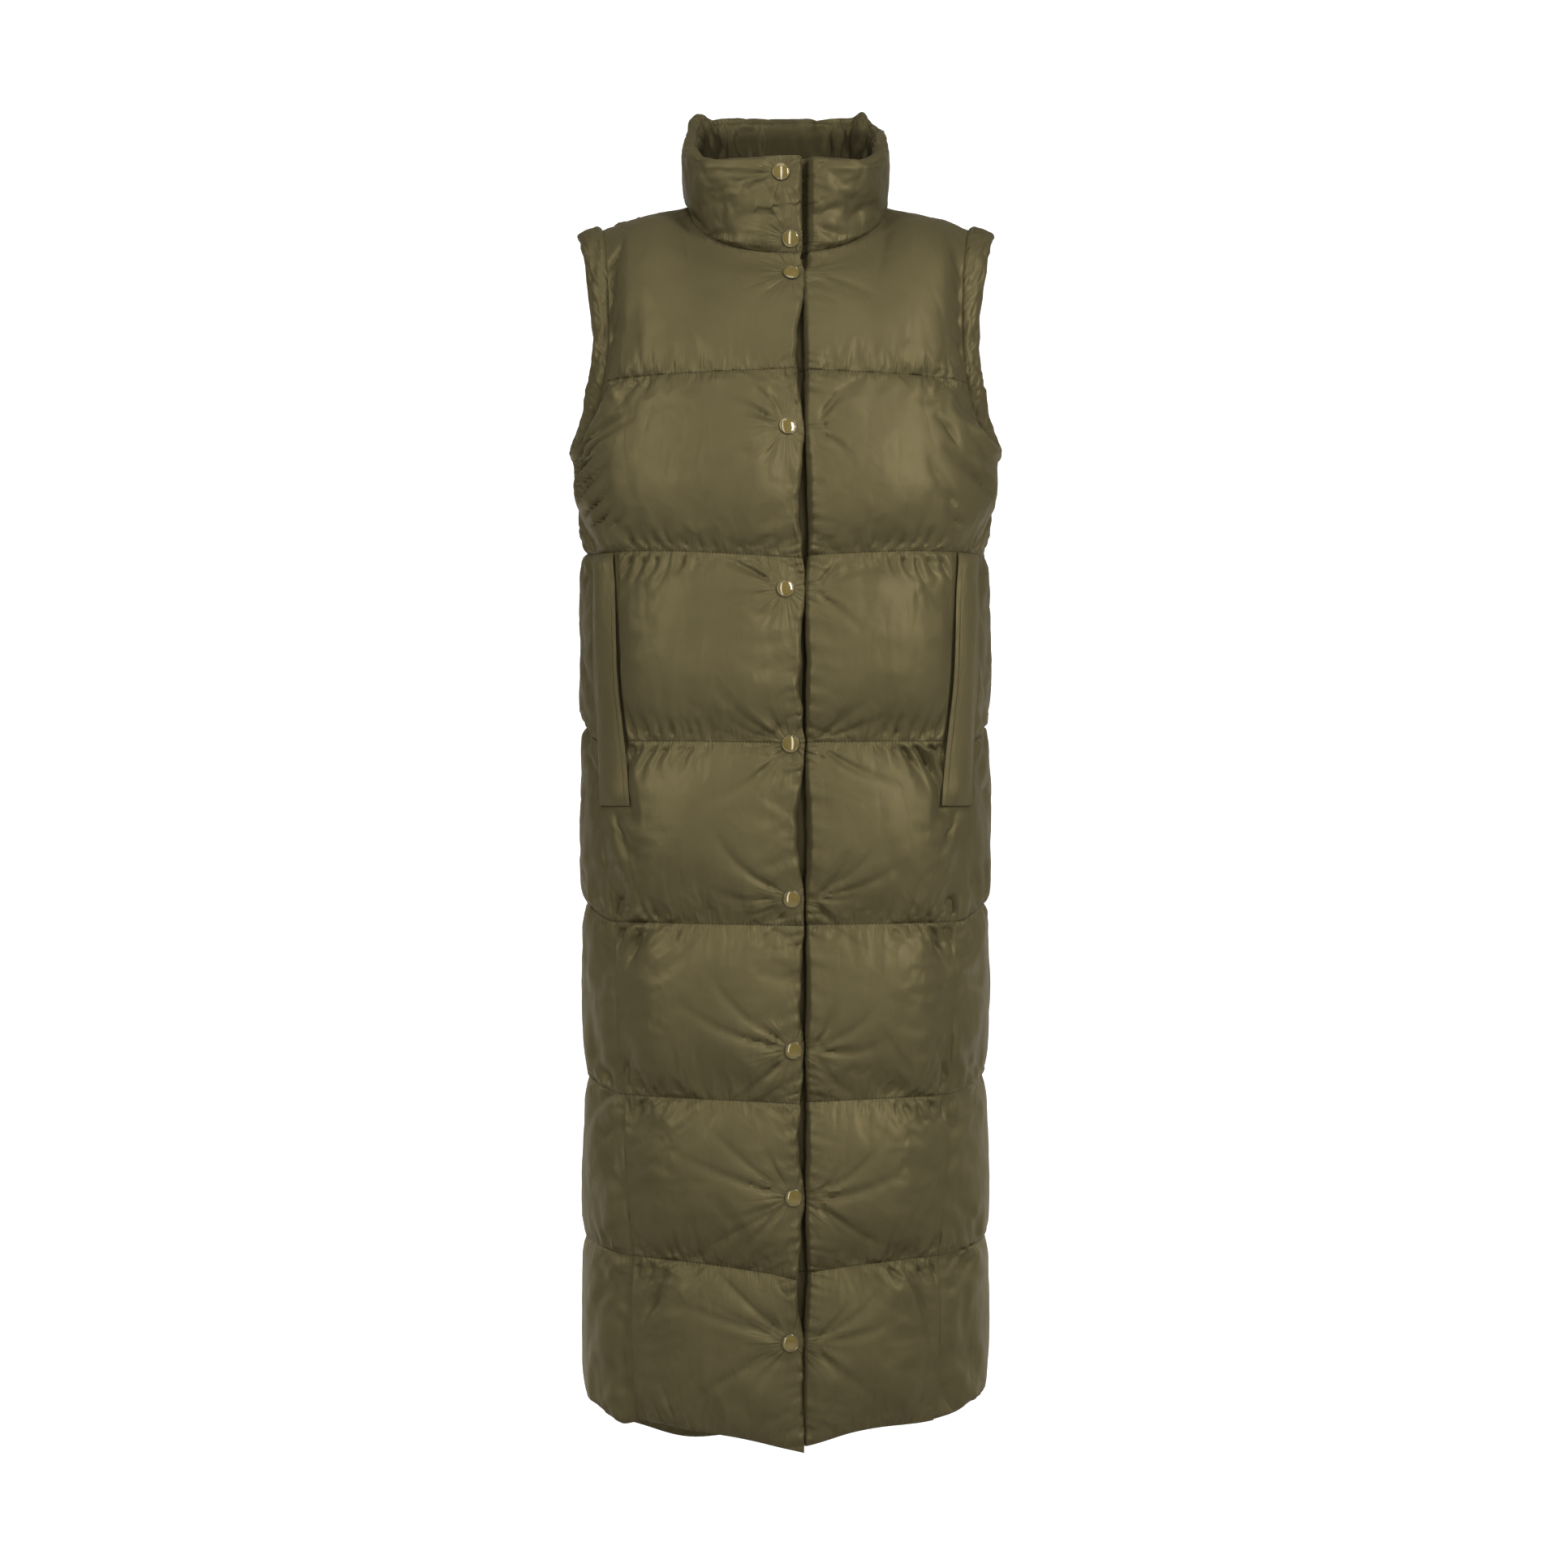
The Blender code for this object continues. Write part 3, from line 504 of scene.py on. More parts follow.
def soft_points(points, steps):
    """The same for a grid of points."""
    return np.stack([soft(part, steps) for part in np.moveaxis(points, 2, 0)], axis=-1)


def unevenness(points, scale, seed):
    """Smooth numbers between about -1 and 1 that wander from place to place."""
    shift = Vector((seed * 7.3, seed * 3.1, seed * 5.7))
    flat = points.reshape(-1, 3)
    values = [noise.noise(Vector(point) * scale + shift) for point in flat]
    return 1.7 * np.array(values).reshape(points.shape[:-1])


print("one step, softened:", soft(np.array([[0.0] * 4 + [1.0] * 4]), (0, 1)).round(2).tolist())

# %% Puckers over a smooth fullness
MOST_PUCKER = 0.005


def heights_over(base, normals, points):
    """How high points stand over a base, and how far each lies sideways of its own normal."""
    height = ((points - base) * normals).sum(axis=2)
    return height, points - base - normals * height[..., None]


def between_columns(coarse):
    """Twice as many columns, the new ones on a smooth curve through the old."""
    fine = np.zeros((coarse.shape[0], 2 * coarse.shape[1] - 1, 3))
    fine[:, ::2] = coarse
    padded = np.pad(coarse, ((0, 0), (1, 1), (0, 0)), mode="edge")
    fine[:, 1::2] = (9 * (coarse[:, :-1] + coarse[:, 1:]) - padded[:, :-3] - padded[:, 3:]) / 16
    return fine


def pucker(cut, normals, fill, pinned, slack, flip, seed, gain, window=(10, 20)):
    """The panel's outer face: the smooth fullness with the puckers of a pushed-out cloth."""
    jitter = unevenness(cut, 60, seed) * 0.0006 * ease(fill / 0.004)
    start = cut + normals * (fill * 0.9 + jitter)[..., None]
    coarse = blow_up(start[:, ::2], pinned[:, ::2], slack[:, ::2], flip)
    blown = between_columns(coarse - start[:, ::2]) + start
    height, sideways = heights_over(cut, normals, blown)
    share = np.clip(height / (fill + 0.0004), -0.5, 3.0)
    puckered = fill * (1 + gain * (share - soft(share, window)))
    puckered = np.clip(puckered, fill - MOST_PUCKER, fill + MOST_PUCKER)
    return cut + normals * puckered[..., None] + sideways * 0.7


print("puckers reach", MOST_PUCKER, "m at most")

# %% [markdown]
# ## Creases placed one by one
#
# The large folds have causes: a snap drags the cloth towards itself, an armhole lets the chamber
# under it sag, a side seam gathers it. Each is a short line along which the cloth is pressed in or
# raised, softly, strongest at its middle or at the end where it starts.
# %% Pressing a fold into a panel
FOLD_BEND = 0.10  # how far a fold bows sideways, as a share of its length


def press_folds(cut, folds):
    """Heights to add. A fold is (x, z, x, z, width, height, start), with its ends in metres."""
    total = np.zeros(cut.shape[:2])
    for x0, z0, x1, z1, width, height, start in folds:
        run = np.array((x1 - x0, z1 - z0))
        at = cut[..., [0, 2]] - (x0, z0)
        along = at @ run / (run @ run)
        t = np.clip(along, 0, 1)
        bend = FOLD_BEND * math.hypot(*run) * np.sin(math.pi * t) * math.sin(31 * (x0 + z0 * 1.7))
        side = (at @ (-run[1], run[0])) / math.hypot(*run) - bend
        beyond = (along - t) * math.hypot(*run)
        spread = width * (0.6 + 0.8 * t)
        side /= spread
        sharp = np.where(side > 0, np.exp(-1.7 * np.abs(side)), np.exp(-((side / 1.4) ** 2)))
        near = sharp * np.exp(-((beyond / width) ** 2))
        fade = np.where(t < start, (0.15 + t) / (start + 0.15), (1.02 - t) / (1.02 - start))
        total += height * near * fade
    return total


def creased(values):
    """Rounded ridges with sharp valleys between them, out of smooth wandering numbers."""
    return np.clip(np.abs(values) * 1.6, 0, 1) - 0.38


def wander(u, v, w):
    """Smooth wandering numbers over three arrays of coordinates."""
    spots = np.stack(np.broadcast_arrays(u, v, w), axis=-1)
    flat = [noise.noise(Vector(spot)) for spot in spots.reshape(-1, 3)]
    return 1.7 * np.array(flat).reshape(spots.shape[:-1])


print("a fold is a line with a width and a height")

# %% Gathers along the quilting lines
FINE_GATHERS, MEDIUM_GATHERS, LONG_GATHERS = 210, 78, 30  # how many wander by in a metre
FINE_HEIGHT = 0.0007
MEDIUM_HEIGHT, MEDIUM_AT_SIDE = 0.0006, 0.0036
LONG_HEIGHT, LONG_AT_SIDE = 0.0009, 0.0038


def gathers(along, rows, to_side, seed):
    """Folds that leave a quilting line: dense and short all along it, longer and slanting at the sides."""
    seam = np.round(rows)[:, None]
    far = (rows[:, None] - seam) * ROW_HEIGHT
    under = far < 0
    distance = np.abs(far)
    near_side = 1 - ease((to_side - 0.020) / 0.085)
    slant = np.where(under, 0.30 + 0.70 * near_side, 0.10 + 0.20 * near_side)
    leaned = along - distance * slant
    patch = 0.5 + 0.5 * wander(along * 16, seam * 3.1, seed)
    fine = creased(wander(along * FINE_GATHERS, seam * 5.3 + distance * 30, seed + 2.5))
    middle = creased(wander(leaned * MEDIUM_GATHERS, seam * 2.3 + distance * 7, seed + 5.5))
    large = creased(wander(leaned * LONG_GATHERS, seam * 4.1 + distance * 3, seed + 9.5))
    short = FINE_HEIGHT * fine * np.exp(-distance / 0.0035)
    reach = 0.009 + 0.014 * near_side
    medium = (MEDIUM_HEIGHT + MEDIUM_AT_SIDE * near_side) * (0.3 + patch) * middle * np.exp(-distance / reach)
    long_ones = (LONG_HEIGHT + LONG_AT_SIDE * near_side) * (0.3 + patch) * large
    long_ones *= np.exp(-distance / (0.034 + 0.014 * near_side)) * ease(distance / 0.010)
    return (short + medium + long_ones) * ease(distance / 0.0012) * ease(to_side / 0.018)


def mirror_x(points):
    return points * (-1, 1, 1)


print("gathers rise up to", LONG_HEIGHT + LONG_AT_SIDE, "m at the sides")

# %% [markdown]
# ## Closing a padded panel
#
# A panel has an outer face with all the puckers and a calmer inner face that the wearer's body
# smooths out. The inner one gets a grid with half as many rows and columns, and a bridge of faces
# joins the two all round, so that the panel is one closed body.
# %% What every piece carries
def finish_piece(name, build):
    """Makes a bmesh into a named object at the origin, facing outwards and shaded smooth."""
    bmesh.ops.recalc_face_normals(build, faces=build.faces)
    mesh = bpy.data.meshes.new(name)
    build.to_mesh(mesh)
    build.free()
    mesh.shade_smooth()
    mesh.set_sharp_from_angle(angle=math.radians(60))
    piece = bpy.data.objects.new(name, mesh)
    bpy.context.scene.collection.objects.link(piece)
    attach(piece, "root")
    print(name, len(mesh.vertices), "points")
    return piece


def spread(build, vertices, along, up, from_seam):
    """Gives a grid its cut's own UV map, in metres, and each point's distance from a seam."""
    lay = build.loops.layers.uv["cut"]
    far = build.verts.layers.float["from_seam"]
    spots = np.stack((along, np.broadcast_to(up, along.shape)), axis=-1).reshape(-1, 2)
    for vertex, spot, distance in zip(vertices, spots, from_seam.ravel()):
        vertex[far] = distance
        for loop in vertex.link_loops:
            loop[lay].uv = spot


def new_build():
    """An empty bmesh with the layers that every piece of the coat carries for its finish."""
    build = bmesh.new()
    build.loops.layers.uv.new("cut")
    build.verts.layers.float.new("from_seam")
    build.verts.layers.float_vector.new("from_snap")
    return build


def mark_snaps(build, snaps):
    """Stores at each point the way to it from the nearest snap, and how strongly that snap pulls."""
    way = build.verts.layers.float_vector["from_snap"]
    places = np.array([(snap.x, snap.z) for snap in snaps])
    for vertex in build.verts:
        across = places - (vertex.co.x, vertex.co.z)
        nearest = across[np.argmin((across**2).sum(axis=1))]
        vertex[way] = (-nearest[0], float(ease((0.062 - math.hypot(*nearest)) / 0.045)), -nearest[1])


print("every point carries its seam distance and the pull of a snap")

# %% Two faces joined all round
def padded_panel(name, outer, inner, along, rows, snaps=()):
    """A closed panel from its outer grid and its inner grid, which has half as many lines."""
    build = new_build()
    up = rows[:, None] * ROW_HEIGHT
    from_seam = np.broadcast_to(off_line(rows), along.shape)
    for points, step in ((outer, 1), (inner, 2)):
        vertices = cloth_grid(build, *points.shape[:2])
        place(vertices, points)
        spread(build, vertices, along[::step, ::step], up[::step], from_seam[::step, ::step])
    border = [edge for edge in build.edges if edge.is_boundary]
    bmesh.ops.bridge_loops(build, edges=border)
    if snaps:
        mark_snaps(build, snaps)
    return finish_piece(name, build)


print("panels close all round")

# %% [markdown]
# ## The two fronts
#
# Both fronts are cut alike and mirrored. The wearer's right one lies on top and carries the snaps,
# so its edge is held down at each snap and gapes a little between them. The left one dives under
# it. Each front is blown up on its own, with its own unevenness, because no two puckers are alike.
# %% Where the fronts are held and how slack they are
def row_steps(count):
    """The grid lines of all chambers, closer together beside the quilting lines."""
    steps = np.linspace(0, 1, count + 1)
    steps = steps - 0.075 * np.sin(2 * math.pi * steps)
    return np.append(np.concatenate([steps[:-1] + row for row in range(TOP)]), TOP)


FRONT_ROWS = row_steps(68)
EDGE_STEPS = np.array((0.0, 0.0015, 0.003, 0.005, 0.007, 0.010, 0.013, 0.017, 0.021, 0.026))
FRONT_SHARES = np.concatenate((EDGE_STEPS, np.linspace(0.032, 1.0, 141)))
SNAPS = [(Vector(low) + Vector(high)) / 2 for low, high in (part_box(f"snap_cap_{k:02d}") for k in range(1, 11))]

front = front_cut(FRONT_ROWS, FRONT_SHARES)
by_neck = np.exp(-(((FRONT_SHARES - FRONT_NECK_SHARE) / 0.17) ** 2))[None, :]
by_neck = by_neck * (ease((FRONT_ROWS - 6.10) / 0.4) * ease((TOP - FRONT_ROWS) / 0.08))[:, None]
front = front + (soft_points(front, (4, 10)) - front) * by_neck[..., None]
front_out = outward(front, FRONT_ROWS, FRONT_SHARES, FRONT_NECK_SHARE, 1)
fullness_front = front_fill(FRONT_ROWS, front)
front_along = row_arcs(front)
front_from_side = front_along[:, -1:] - front_along
on_seam = np.abs(FRONT_ROWS - np.round(FRONT_ROWS)) < 1e-6
front_pinned = on_seam[:, None] | (front_along < 0.004) | (front_from_side < 0.0005)
front_slack = 0.022 + 0.016 * (1 - ease((front_from_side - 0.02) / 0.07))
print("front grid", front.shape[:2], "snaps", len(SNAPS))

# %% [markdown]
# ## What pulls the fronts into folds
#
# Every snap drags creases towards itself, and between two snaps the edge gapes and runs back. The
# armholes and the side seams pull longer folds in. Those that show most are placed one by one, the
# many short ones over each quilting line come from a loop, and no two are alike.
# %% Folds beside a snap
def chance(u, v, w):
    """One smooth wandering number between about -1 and 1."""
    return noise.noise(Vector((u, v, w)))


def fold_from(snap, toward, turn, near, reach, *form):
    """A fold that runs away from a snap at an angle, between two distances from it."""
    dx, dz = toward * math.cos(turn), math.sin(turn)
    return (snap.x + dx * near, snap.z + dz * near, snap.x + dx * reach, snap.z + dz * reach, *form)


def snap_folds(number, snap, toward, count, length):
    """Short troughs and ridges, and three long creases, on one side of a snap."""
    folds = []
    for k in range(count):
        drift = chance(number * 3.7, k * 5.1, toward)
        turn = math.radians(-62 + 124 * (k + 0.5) / count + 28 * drift)
        reach = length * (0.75 + 0.8 * abs(chance(k * 2.3, number * 4.9, 1.5 + toward)))
        rise = (-0.0028, 0.0018)[k % 2] * (0.9 + drift)
        folds.append(fold_from(snap, toward, turn, 0.009, reach, 0.0032, rise, 0.05))
    for k, angle in enumerate((42, 17, -38)):
        drift = chance(number * 2.9, k * 4.7, toward + 6.1)
        turn = math.radians(angle + 22 * drift)
        reach = length * (1.6 + 0.7 * drift)
        folds.append(fold_from(snap, toward, turn, 0.010, reach, 0.0036, -0.0030 * (1 + drift), 0.12))
    return folds


print(len(snap_folds(3, SNAPS[2], 1, 7, 0.042)), "folds beside each snap")

# %% An edge that gapes between its snaps
EDGE_GAPE = 0.0040
EDGE_OUT, EDGE_BACK, EDGE_BACK_VARIES, EDGE_RIPPLE = 0.0020, 0.0050, 0.0026, 0.0019


def between_snaps(cut):
    """0 at each snap's height and 1 half way to the next, and the number of the stretch."""
    heights = np.array(sorted(snap.z for snap in SNAPS))
    z = cut[..., 2]
    step = np.clip(np.searchsorted(heights, z) - 1, 0, len(heights) - 2)
    t = np.clip((z - heights[step]) / (heights[step + 1] - heights[step]), 0, 1)
    return np.sin(math.pi * t**0.8) ** 1.7, step


def edge_gape(cut, along):
    """The top front's edge lifts a little between one snap and the next."""
    free, step = between_snaps(cut)
    return EDGE_GAPE * (0.75 + 0.5 * np.sin(5 * step + 1.0)) * free * (1 - ease(along / 0.030))


def edge_sway(cut, along):
    """How far the edge runs out towards the other front: a little at the snaps, less between them."""
    free, step = between_snaps(cut)
    small = wander(cut[..., 2] * 55, along * 0, 3.3) + 0.8 * wander(cut[..., 2] * 24, along * 0, 6.1)
    wide = EDGE_BACK + EDGE_BACK_VARIES * np.sin(2.3 * step + 0.6)
    return (EDGE_OUT - wide * free + EDGE_RIPPLE * small * (0.4 + 0.6 * free)) * (1 - ease(along / 0.028))


print("between snaps the edge runs back up to", round(EDGE_BACK + EDGE_BACK_VARIES, 4), "m")

# %% Folds from the armholes and the side seams
# Each is x, z, x, z, width, height, start. The drags run from the armhole and the side, inwards and up.
LEFT_DRAG = [
    (0.176, -0.209, 0.132, -0.168, 0.0050, -0.0075, 0.15),
    (0.168, -0.214, 0.140, -0.195, 0.0055, -0.0070, 0.20),
    (0.172, -0.232, 0.138, -0.203, 0.0045, 0.0035, 0.30),
    (0.168, -0.245, 0.150, -0.222, 0.0035, -0.0042, 0.30),
    (0.142, -0.231, 0.125, -0.208, 0.0035, -0.0042, 0.30),
    (0.174, -0.277, 0.130, -0.234, 0.0045, -0.0070, 0.35),
    (0.172, -0.264, 0.145, -0.244, 0.0040, 0.0032, 0.30),
    (0.146, -0.287, 0.125, -0.262, 0.0035, -0.0046, 0.30),
    (0.152, -0.304, 0.132, -0.285, 0.0035, -0.0042, 0.30),
    (0.133, -0.270, 0.118, -0.243, 0.0030, -0.0030, 0.40),
    (0.158, -0.100, 0.147, -0.078, 0.0042, -0.0090, 0.20),
    (0.160, -0.078, 0.150, -0.050, 0.0042, -0.0080, 0.20),
    (0.158, -0.122, 0.142, -0.102, 0.0040, -0.0080, 0.20),
    (0.160, -0.148, 0.138, -0.128, 0.0040, -0.0070, 0.20),
]
RIGHT_DRAG = [
    (0.173, -0.192, 0.147, -0.159, 0.0060, -0.0085, 0.15),
    (0.180, -0.248, 0.138, -0.207, 0.0040, -0.0075, 0.35),
    (0.179, -0.258, 0.128, -0.211, 0.0035, -0.0055, 0.35),
    (0.176, -0.236, 0.150, -0.212, 0.0040, 0.0032, 0.30),
    (0.174, -0.278, 0.149, -0.248, 0.0042, -0.0065, 0.30),
    (0.170, -0.291, 0.144, -0.265, 0.0040, -0.0060, 0.30),
    (0.165, -0.302, 0.143, -0.281, 0.0035, -0.0048, 0.30),
    (0.178, -0.226, 0.166, -0.210, 0.0035, -0.0050, 0.30),
    (0.150, -0.305, 0.134, -0.288, 0.0035, -0.0035, 0.30),
    (0.186, -0.238, 0.140, -0.207, 0.0040, -0.0062, 0.30),
    (0.176, -0.269, 0.147, -0.248, 0.0040, -0.0058, 0.30),
    (0.183, -0.262, 0.150, -0.236, 0.0035, -0.0048, 0.35),
    (0.158, -0.064, 0.142, -0.041, 0.0045, -0.0095, 0.20),
    (0.160, -0.086, 0.148, -0.065, 0.0040, -0.0090, 0.20),
    (0.160, -0.106, 0.149, -0.084, 0.0038, -0.0085, 0.20),
    (0.158, -0.136, 0.144, -0.114, 0.0040, -0.0075, 0.20),
]
# The deepest few, on the wearer's left: from the third line to the strip, and beside the lower lines.
STRONG_FOLDS = [
    (0.112, -0.496, 0.141, -0.560, 0.0045, -0.0115, 0.25),
    (0.119, -0.496, 0.146, -0.548, 0.0035, 0.0068, 0.25),
    (0.126, -0.495, 0.149, -0.540, 0.0040, -0.0101, 0.25),
    (0.099, -0.498, 0.124, -0.548, 0.0045, -0.0068, 0.25),
    (0.136, -0.494, 0.146, -0.525, 0.0035, -0.0081, 0.25),
    (0.158, -0.655, 0.140, -0.618, 0.0045, -0.0088, 0.30),
    (0.146, -0.660, 0.163, -0.712, 0.0045, -0.0095, 0.30),
    (0.128, -0.662, 0.142, -0.705, 0.0045, -0.0074, 0.30),
    (0.150, -0.560, 0.128, -0.600, 0.0050, -0.0061, 0.40),
    (0.150, -0.815, 0.126, -0.765, 0.0045, -0.0081, 0.30),
    (0.110, -0.970, 0.128, -1.030, 0.0055, -0.0068, 0.30),
]
print(len(LEFT_DRAG), len(RIGHT_DRAG), len(STRONG_FOLDS), "folds placed one by one")

# %% Short folds along the quilting lines
def side_folds(seed):
    """Short deep folds over and under each quilting line, closer and deeper towards the side seam."""
    folds = []
    for row in range(1, 6):
        for k in range(7):
            a, b, c = (chance(row * 3.1 + seed, k * 2.9, j * 5.3) for j in range(3))
            x = 0.163 - 0.0115 * k - 0.004 * a - (0.026 if row >= 4 else 0.0)
            share = np.clip((0.175 - x) / 0.16, 0, 1)
            z_side, z_front = quilting("z_side", row), quilting("z_front", row)
            z = float(z_side + (z_front - z_side) * share**FRONT_DIP)
            deep = (1 - k / 9) * (0.75 + 0.9 * abs(b))
            reach = (0.020 + 0.022 * abs(c)) * (1.25 - 0.08 * k)
            under, over = z - 0.003, z + 0.003
            folds.append((x, under, x + 0.42 * reach, under - reach, 0.0030, -0.0062 * deep, 0.2))
            x -= 0.005
            folds.append((x, over, x + 0.15 * reach, over + 0.8 * reach, 0.0030, -0.0055 * deep, 0.2))
    return folds


def varied(folds, seed):
    """The same folds moved and sized a little differently, for the other side of the coat."""
    changed = []
    for k, (x0, z0, x1, z1, width, height, start) in enumerate(folds):
        a, b, c = (chance(k * 1.9, seed * 2.7, j * 3.3) for j in range(3))
        ends = (x0 + 0.004 * a, z0 + 0.003 * b, x1 + 0.014 * c, z1 + 0.016 * a)
        changed.append((*ends, width * (1 + 0.4 * b), height * (1 + 0.6 * c), start))
    return changed


print(len(side_folds(1)), "short folds on each front")

# %% [markdown]
# ## Room for the caps
#
# A snap clamps the cloth flat, so under each cap the puckers fade away and the cloth lies just
# behind the cap's back. Where the cap sits and how it tilts is read from its solid: the flattest
# direction of its points is its axis.
# %% Calm cloth under the caps
CAP_CALM, CAP_FADE, CAP_CLEAR = 0.0090, 0.011, 0.0003


def cap_frame(number):
    """Where a cap sits and which way it faces, from its solid."""
    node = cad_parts[f"snap_cap_{number:02d}"]
    points = np.array([vertex.co for vertex in node.data.vertices])
    centre = np.unique(points.round(6), axis=0).mean(axis=0)
    axis = np.linalg.svd(np.unique(points.round(6), axis=0) - centre)[2][2]
    axis *= -np.sign(axis[1])
    base = min((points - centre) @ axis)
    return Vector(centre + axis * base), Vector(axis)


def away_from(cut, spot):
    """0 under a cap at this spot and 1 away from it."""
    return ease((np.linalg.norm((cut - spot) * (1, 0.5, 1), axis=-1) - CAP_CALM) / CAP_FADE)


def seated(cut, out, height, numbers, mirror=(1, 1, 1)):
    """The height of the cloth, brought flat under each cap and just behind its back face."""
    for number in numbers:
        base, axis = (np.array(part) * mirror for part in cap_frame(number))
        calm = away_from(cut, base)
        flat = ((base - cut) @ axis - CAP_CLEAR) / np.maximum(out @ axis, 0.4)
        height = height * calm + flat * (1 - calm)
    return height


def quiet_at_snaps(cut):
    """0 under any cap of the fronts and 1 away from them."""
    return np.min([away_from(cut, snap * Vector((-1, 1, 1))) for snap in SNAPS[2:]], axis=0)


print("caps sit on flat cloth")

# %% [markdown]
# ## Shaping the two faces of a front
#
# A front's outer face is its cut, plus the puckered fullness, plus the folds. The top front lies
# flat at its snaps and gapes between them, and the under one sinks behind it along the lap. Both
# give way under the flat pocket strip, and both are drawn in below the armholes, where the band
# ends in a soft point.
# %% Where a front gives way
SEAM_TAKE = 0.0008
LINE_REACH = 0.028


def under_strip():
    """1 where the flat pocket strip covers a front and 0 away from it."""
    high = np.minimum(FRONT_ROWS - POCKET_BOTTOM, POCKET_TOP - FRONT_ROWS) * ROW_HEIGHT
    return ease(high / 0.006)[:, None] * ease((POCKET_WIDE + 0.006 - front_from_side) / 0.004)


def soft_excess(over, softness):
    """How much to take off to stay under a limit, with no edge where the limit starts to count."""
    return softness * np.log1p(np.exp(over / softness))


def hump(values, middle, width):
    """1 at the middle, fading smoothly to both sides."""
    return np.exp(-(((values - middle) / width) ** 2))


def tucked(points):
    """Holds the sides in below the armholes, where the band's end draws them back."""
    limit = np.interp(points[..., 2], (-0.350, -0.335, -0.300, -0.255, -0.235, -0.215),
                      (0.2100, 0.1880, 0.1905, 0.1925, 0.1945, 0.2100))
    over = np.abs(points[..., 0]) - limit
    points[..., 0] -= np.sign(points[..., 0]) * soft_excess(over, 0.0012)
    return pointed(points)


def pointed(points):
    """Draws the armhole's lower part in at its outer side, and its foot out to a soft point."""
    z = points[..., 2]
    way = 0.0030 * hump(z, -0.229, 0.0085) - 0.0046 * hump(z, -0.199, 0.017)
    way -= 0.0014 * hump(z, -0.247, 0.010)
    points[..., 0] += np.sign(points[..., 0]) * way * ease((np.abs(points[..., 0]) - 0.150) / 0.035)
    return points


def drawn_up(points):
    """Draws the top edge over to its neighbour, so that no light shows through the sewn seam."""
    way = points[-1] - points[-2]
    points[-1] += way / np.linalg.norm(way, axis=-1, keepdims=True) * SEAM_TAKE
    return points


print("the sides are held in below the armholes")

# %% The parts of a front's shape
EDGE_CREASE = 0.0042
YOKE_CALM = 0.45


def front_gain():
    """How strong a front's puckers are: most beside a quilting line, and least near the neck."""
    gain = 0.35 + 0.9 * np.exp(-off_line(FRONT_ROWS) / LINE_REACH)
    return gain * (1 - 0.85 * ease((FRONT_ROWS[:, None] - 6.02) / 0.3))


def front_relief(seed, folds, is_under):
    """What is pressed into a front's puckers: folds, gathers and small creases beside the edge."""
    from_line = off_line(FRONT_ROWS)
    raised = press_folds(front, folds) * ease(from_line / 0.009)
    raised = raised + gathers(front_along, FRONT_ROWS, front_from_side, seed)
    beside_edge = np.exp(-np.abs(front_along - 0.034) / 0.010) if is_under else np.exp(-front_along / 0.009)
    level = creased(wander(front[..., 2] * 120 + front_along * 30, front_along * 14, seed + 3.5))
    raised += EDGE_CREASE * beside_edge * level * ease(front_along / 0.003)
    raised[FRONT_ROWS > YOKE] *= YOKE_CALM
    return raised * ease(np.minimum(from_line, front_from_side) / 0.004)


print("puckers fade", LINE_REACH, "m away from a quilting line")

# %% How the fronts lap
HEM_WAVE, UNDER_HEM_RISE = 0.0030, 0.0080


def lapped_under(height):
    """The under front's height and thickness, sunk behind the top one along the lap."""
    free, step = between_snaps(front)
    gap = 0.0278 + 0.0036 * free * (0.7 + 0.5 * np.sin(2.9 * step + 0.4))
    lapped = 1 - ease((front_along - gap) / 0.0070)
    beside = np.exp(-np.maximum(front_along - 0.030, 0) / 0.012)
    pressed = (1 - free) * beside * (FRONT_ROWS < TOP - 0.3)[:, None]
    height = height * (1 - 0.45 * pressed) * (1 - lapped) - UNDER_LAP_SINK * lapped
    whole = WALL + INNER_SHARE * fullness_front
    return height, whole * (1 - lapped) + (UNDER_LAP_SINK + UNDER_LAP_WALL) * lapped


def lapped_over(height, sideways):
    """The top front's height, thickness and sideways moves, calm at its snaps and gaping between."""
    calm = quiet_at_snaps(front)
    gape = edge_gape(front, front_along)
    height = fullness_front + (height - fullness_front) * calm + gape
    height = seated(front, front_out, height, range(3, 11), mirror=(-1, 1, 1))
    return height, WALL + INNER_SHARE * fullness_front - gape * 0.8, sideways * calm[..., None]


def front_sway(seed, is_under):
    """How the hem hangs unevenly, and how the top front's edge runs in and out."""
    sway = np.zeros_like(front)
    at_hem = ease(1 - FRONT_ROWS / 0.35)[:, None]
    sway[..., 2] = HEM_WAVE * wander(front[..., 0] * 17, front[..., 2] * 4, seed + 0.7) * at_hem
    if is_under:
        sway[..., 2] += UNDER_HEM_RISE * at_hem * (1 - ease((front_along - 0.008) / 0.022))
    else:
        sway[..., 0] = -edge_sway(front, front_along)
    return sway


print("the lap is", 2 * LAP, "m wide")

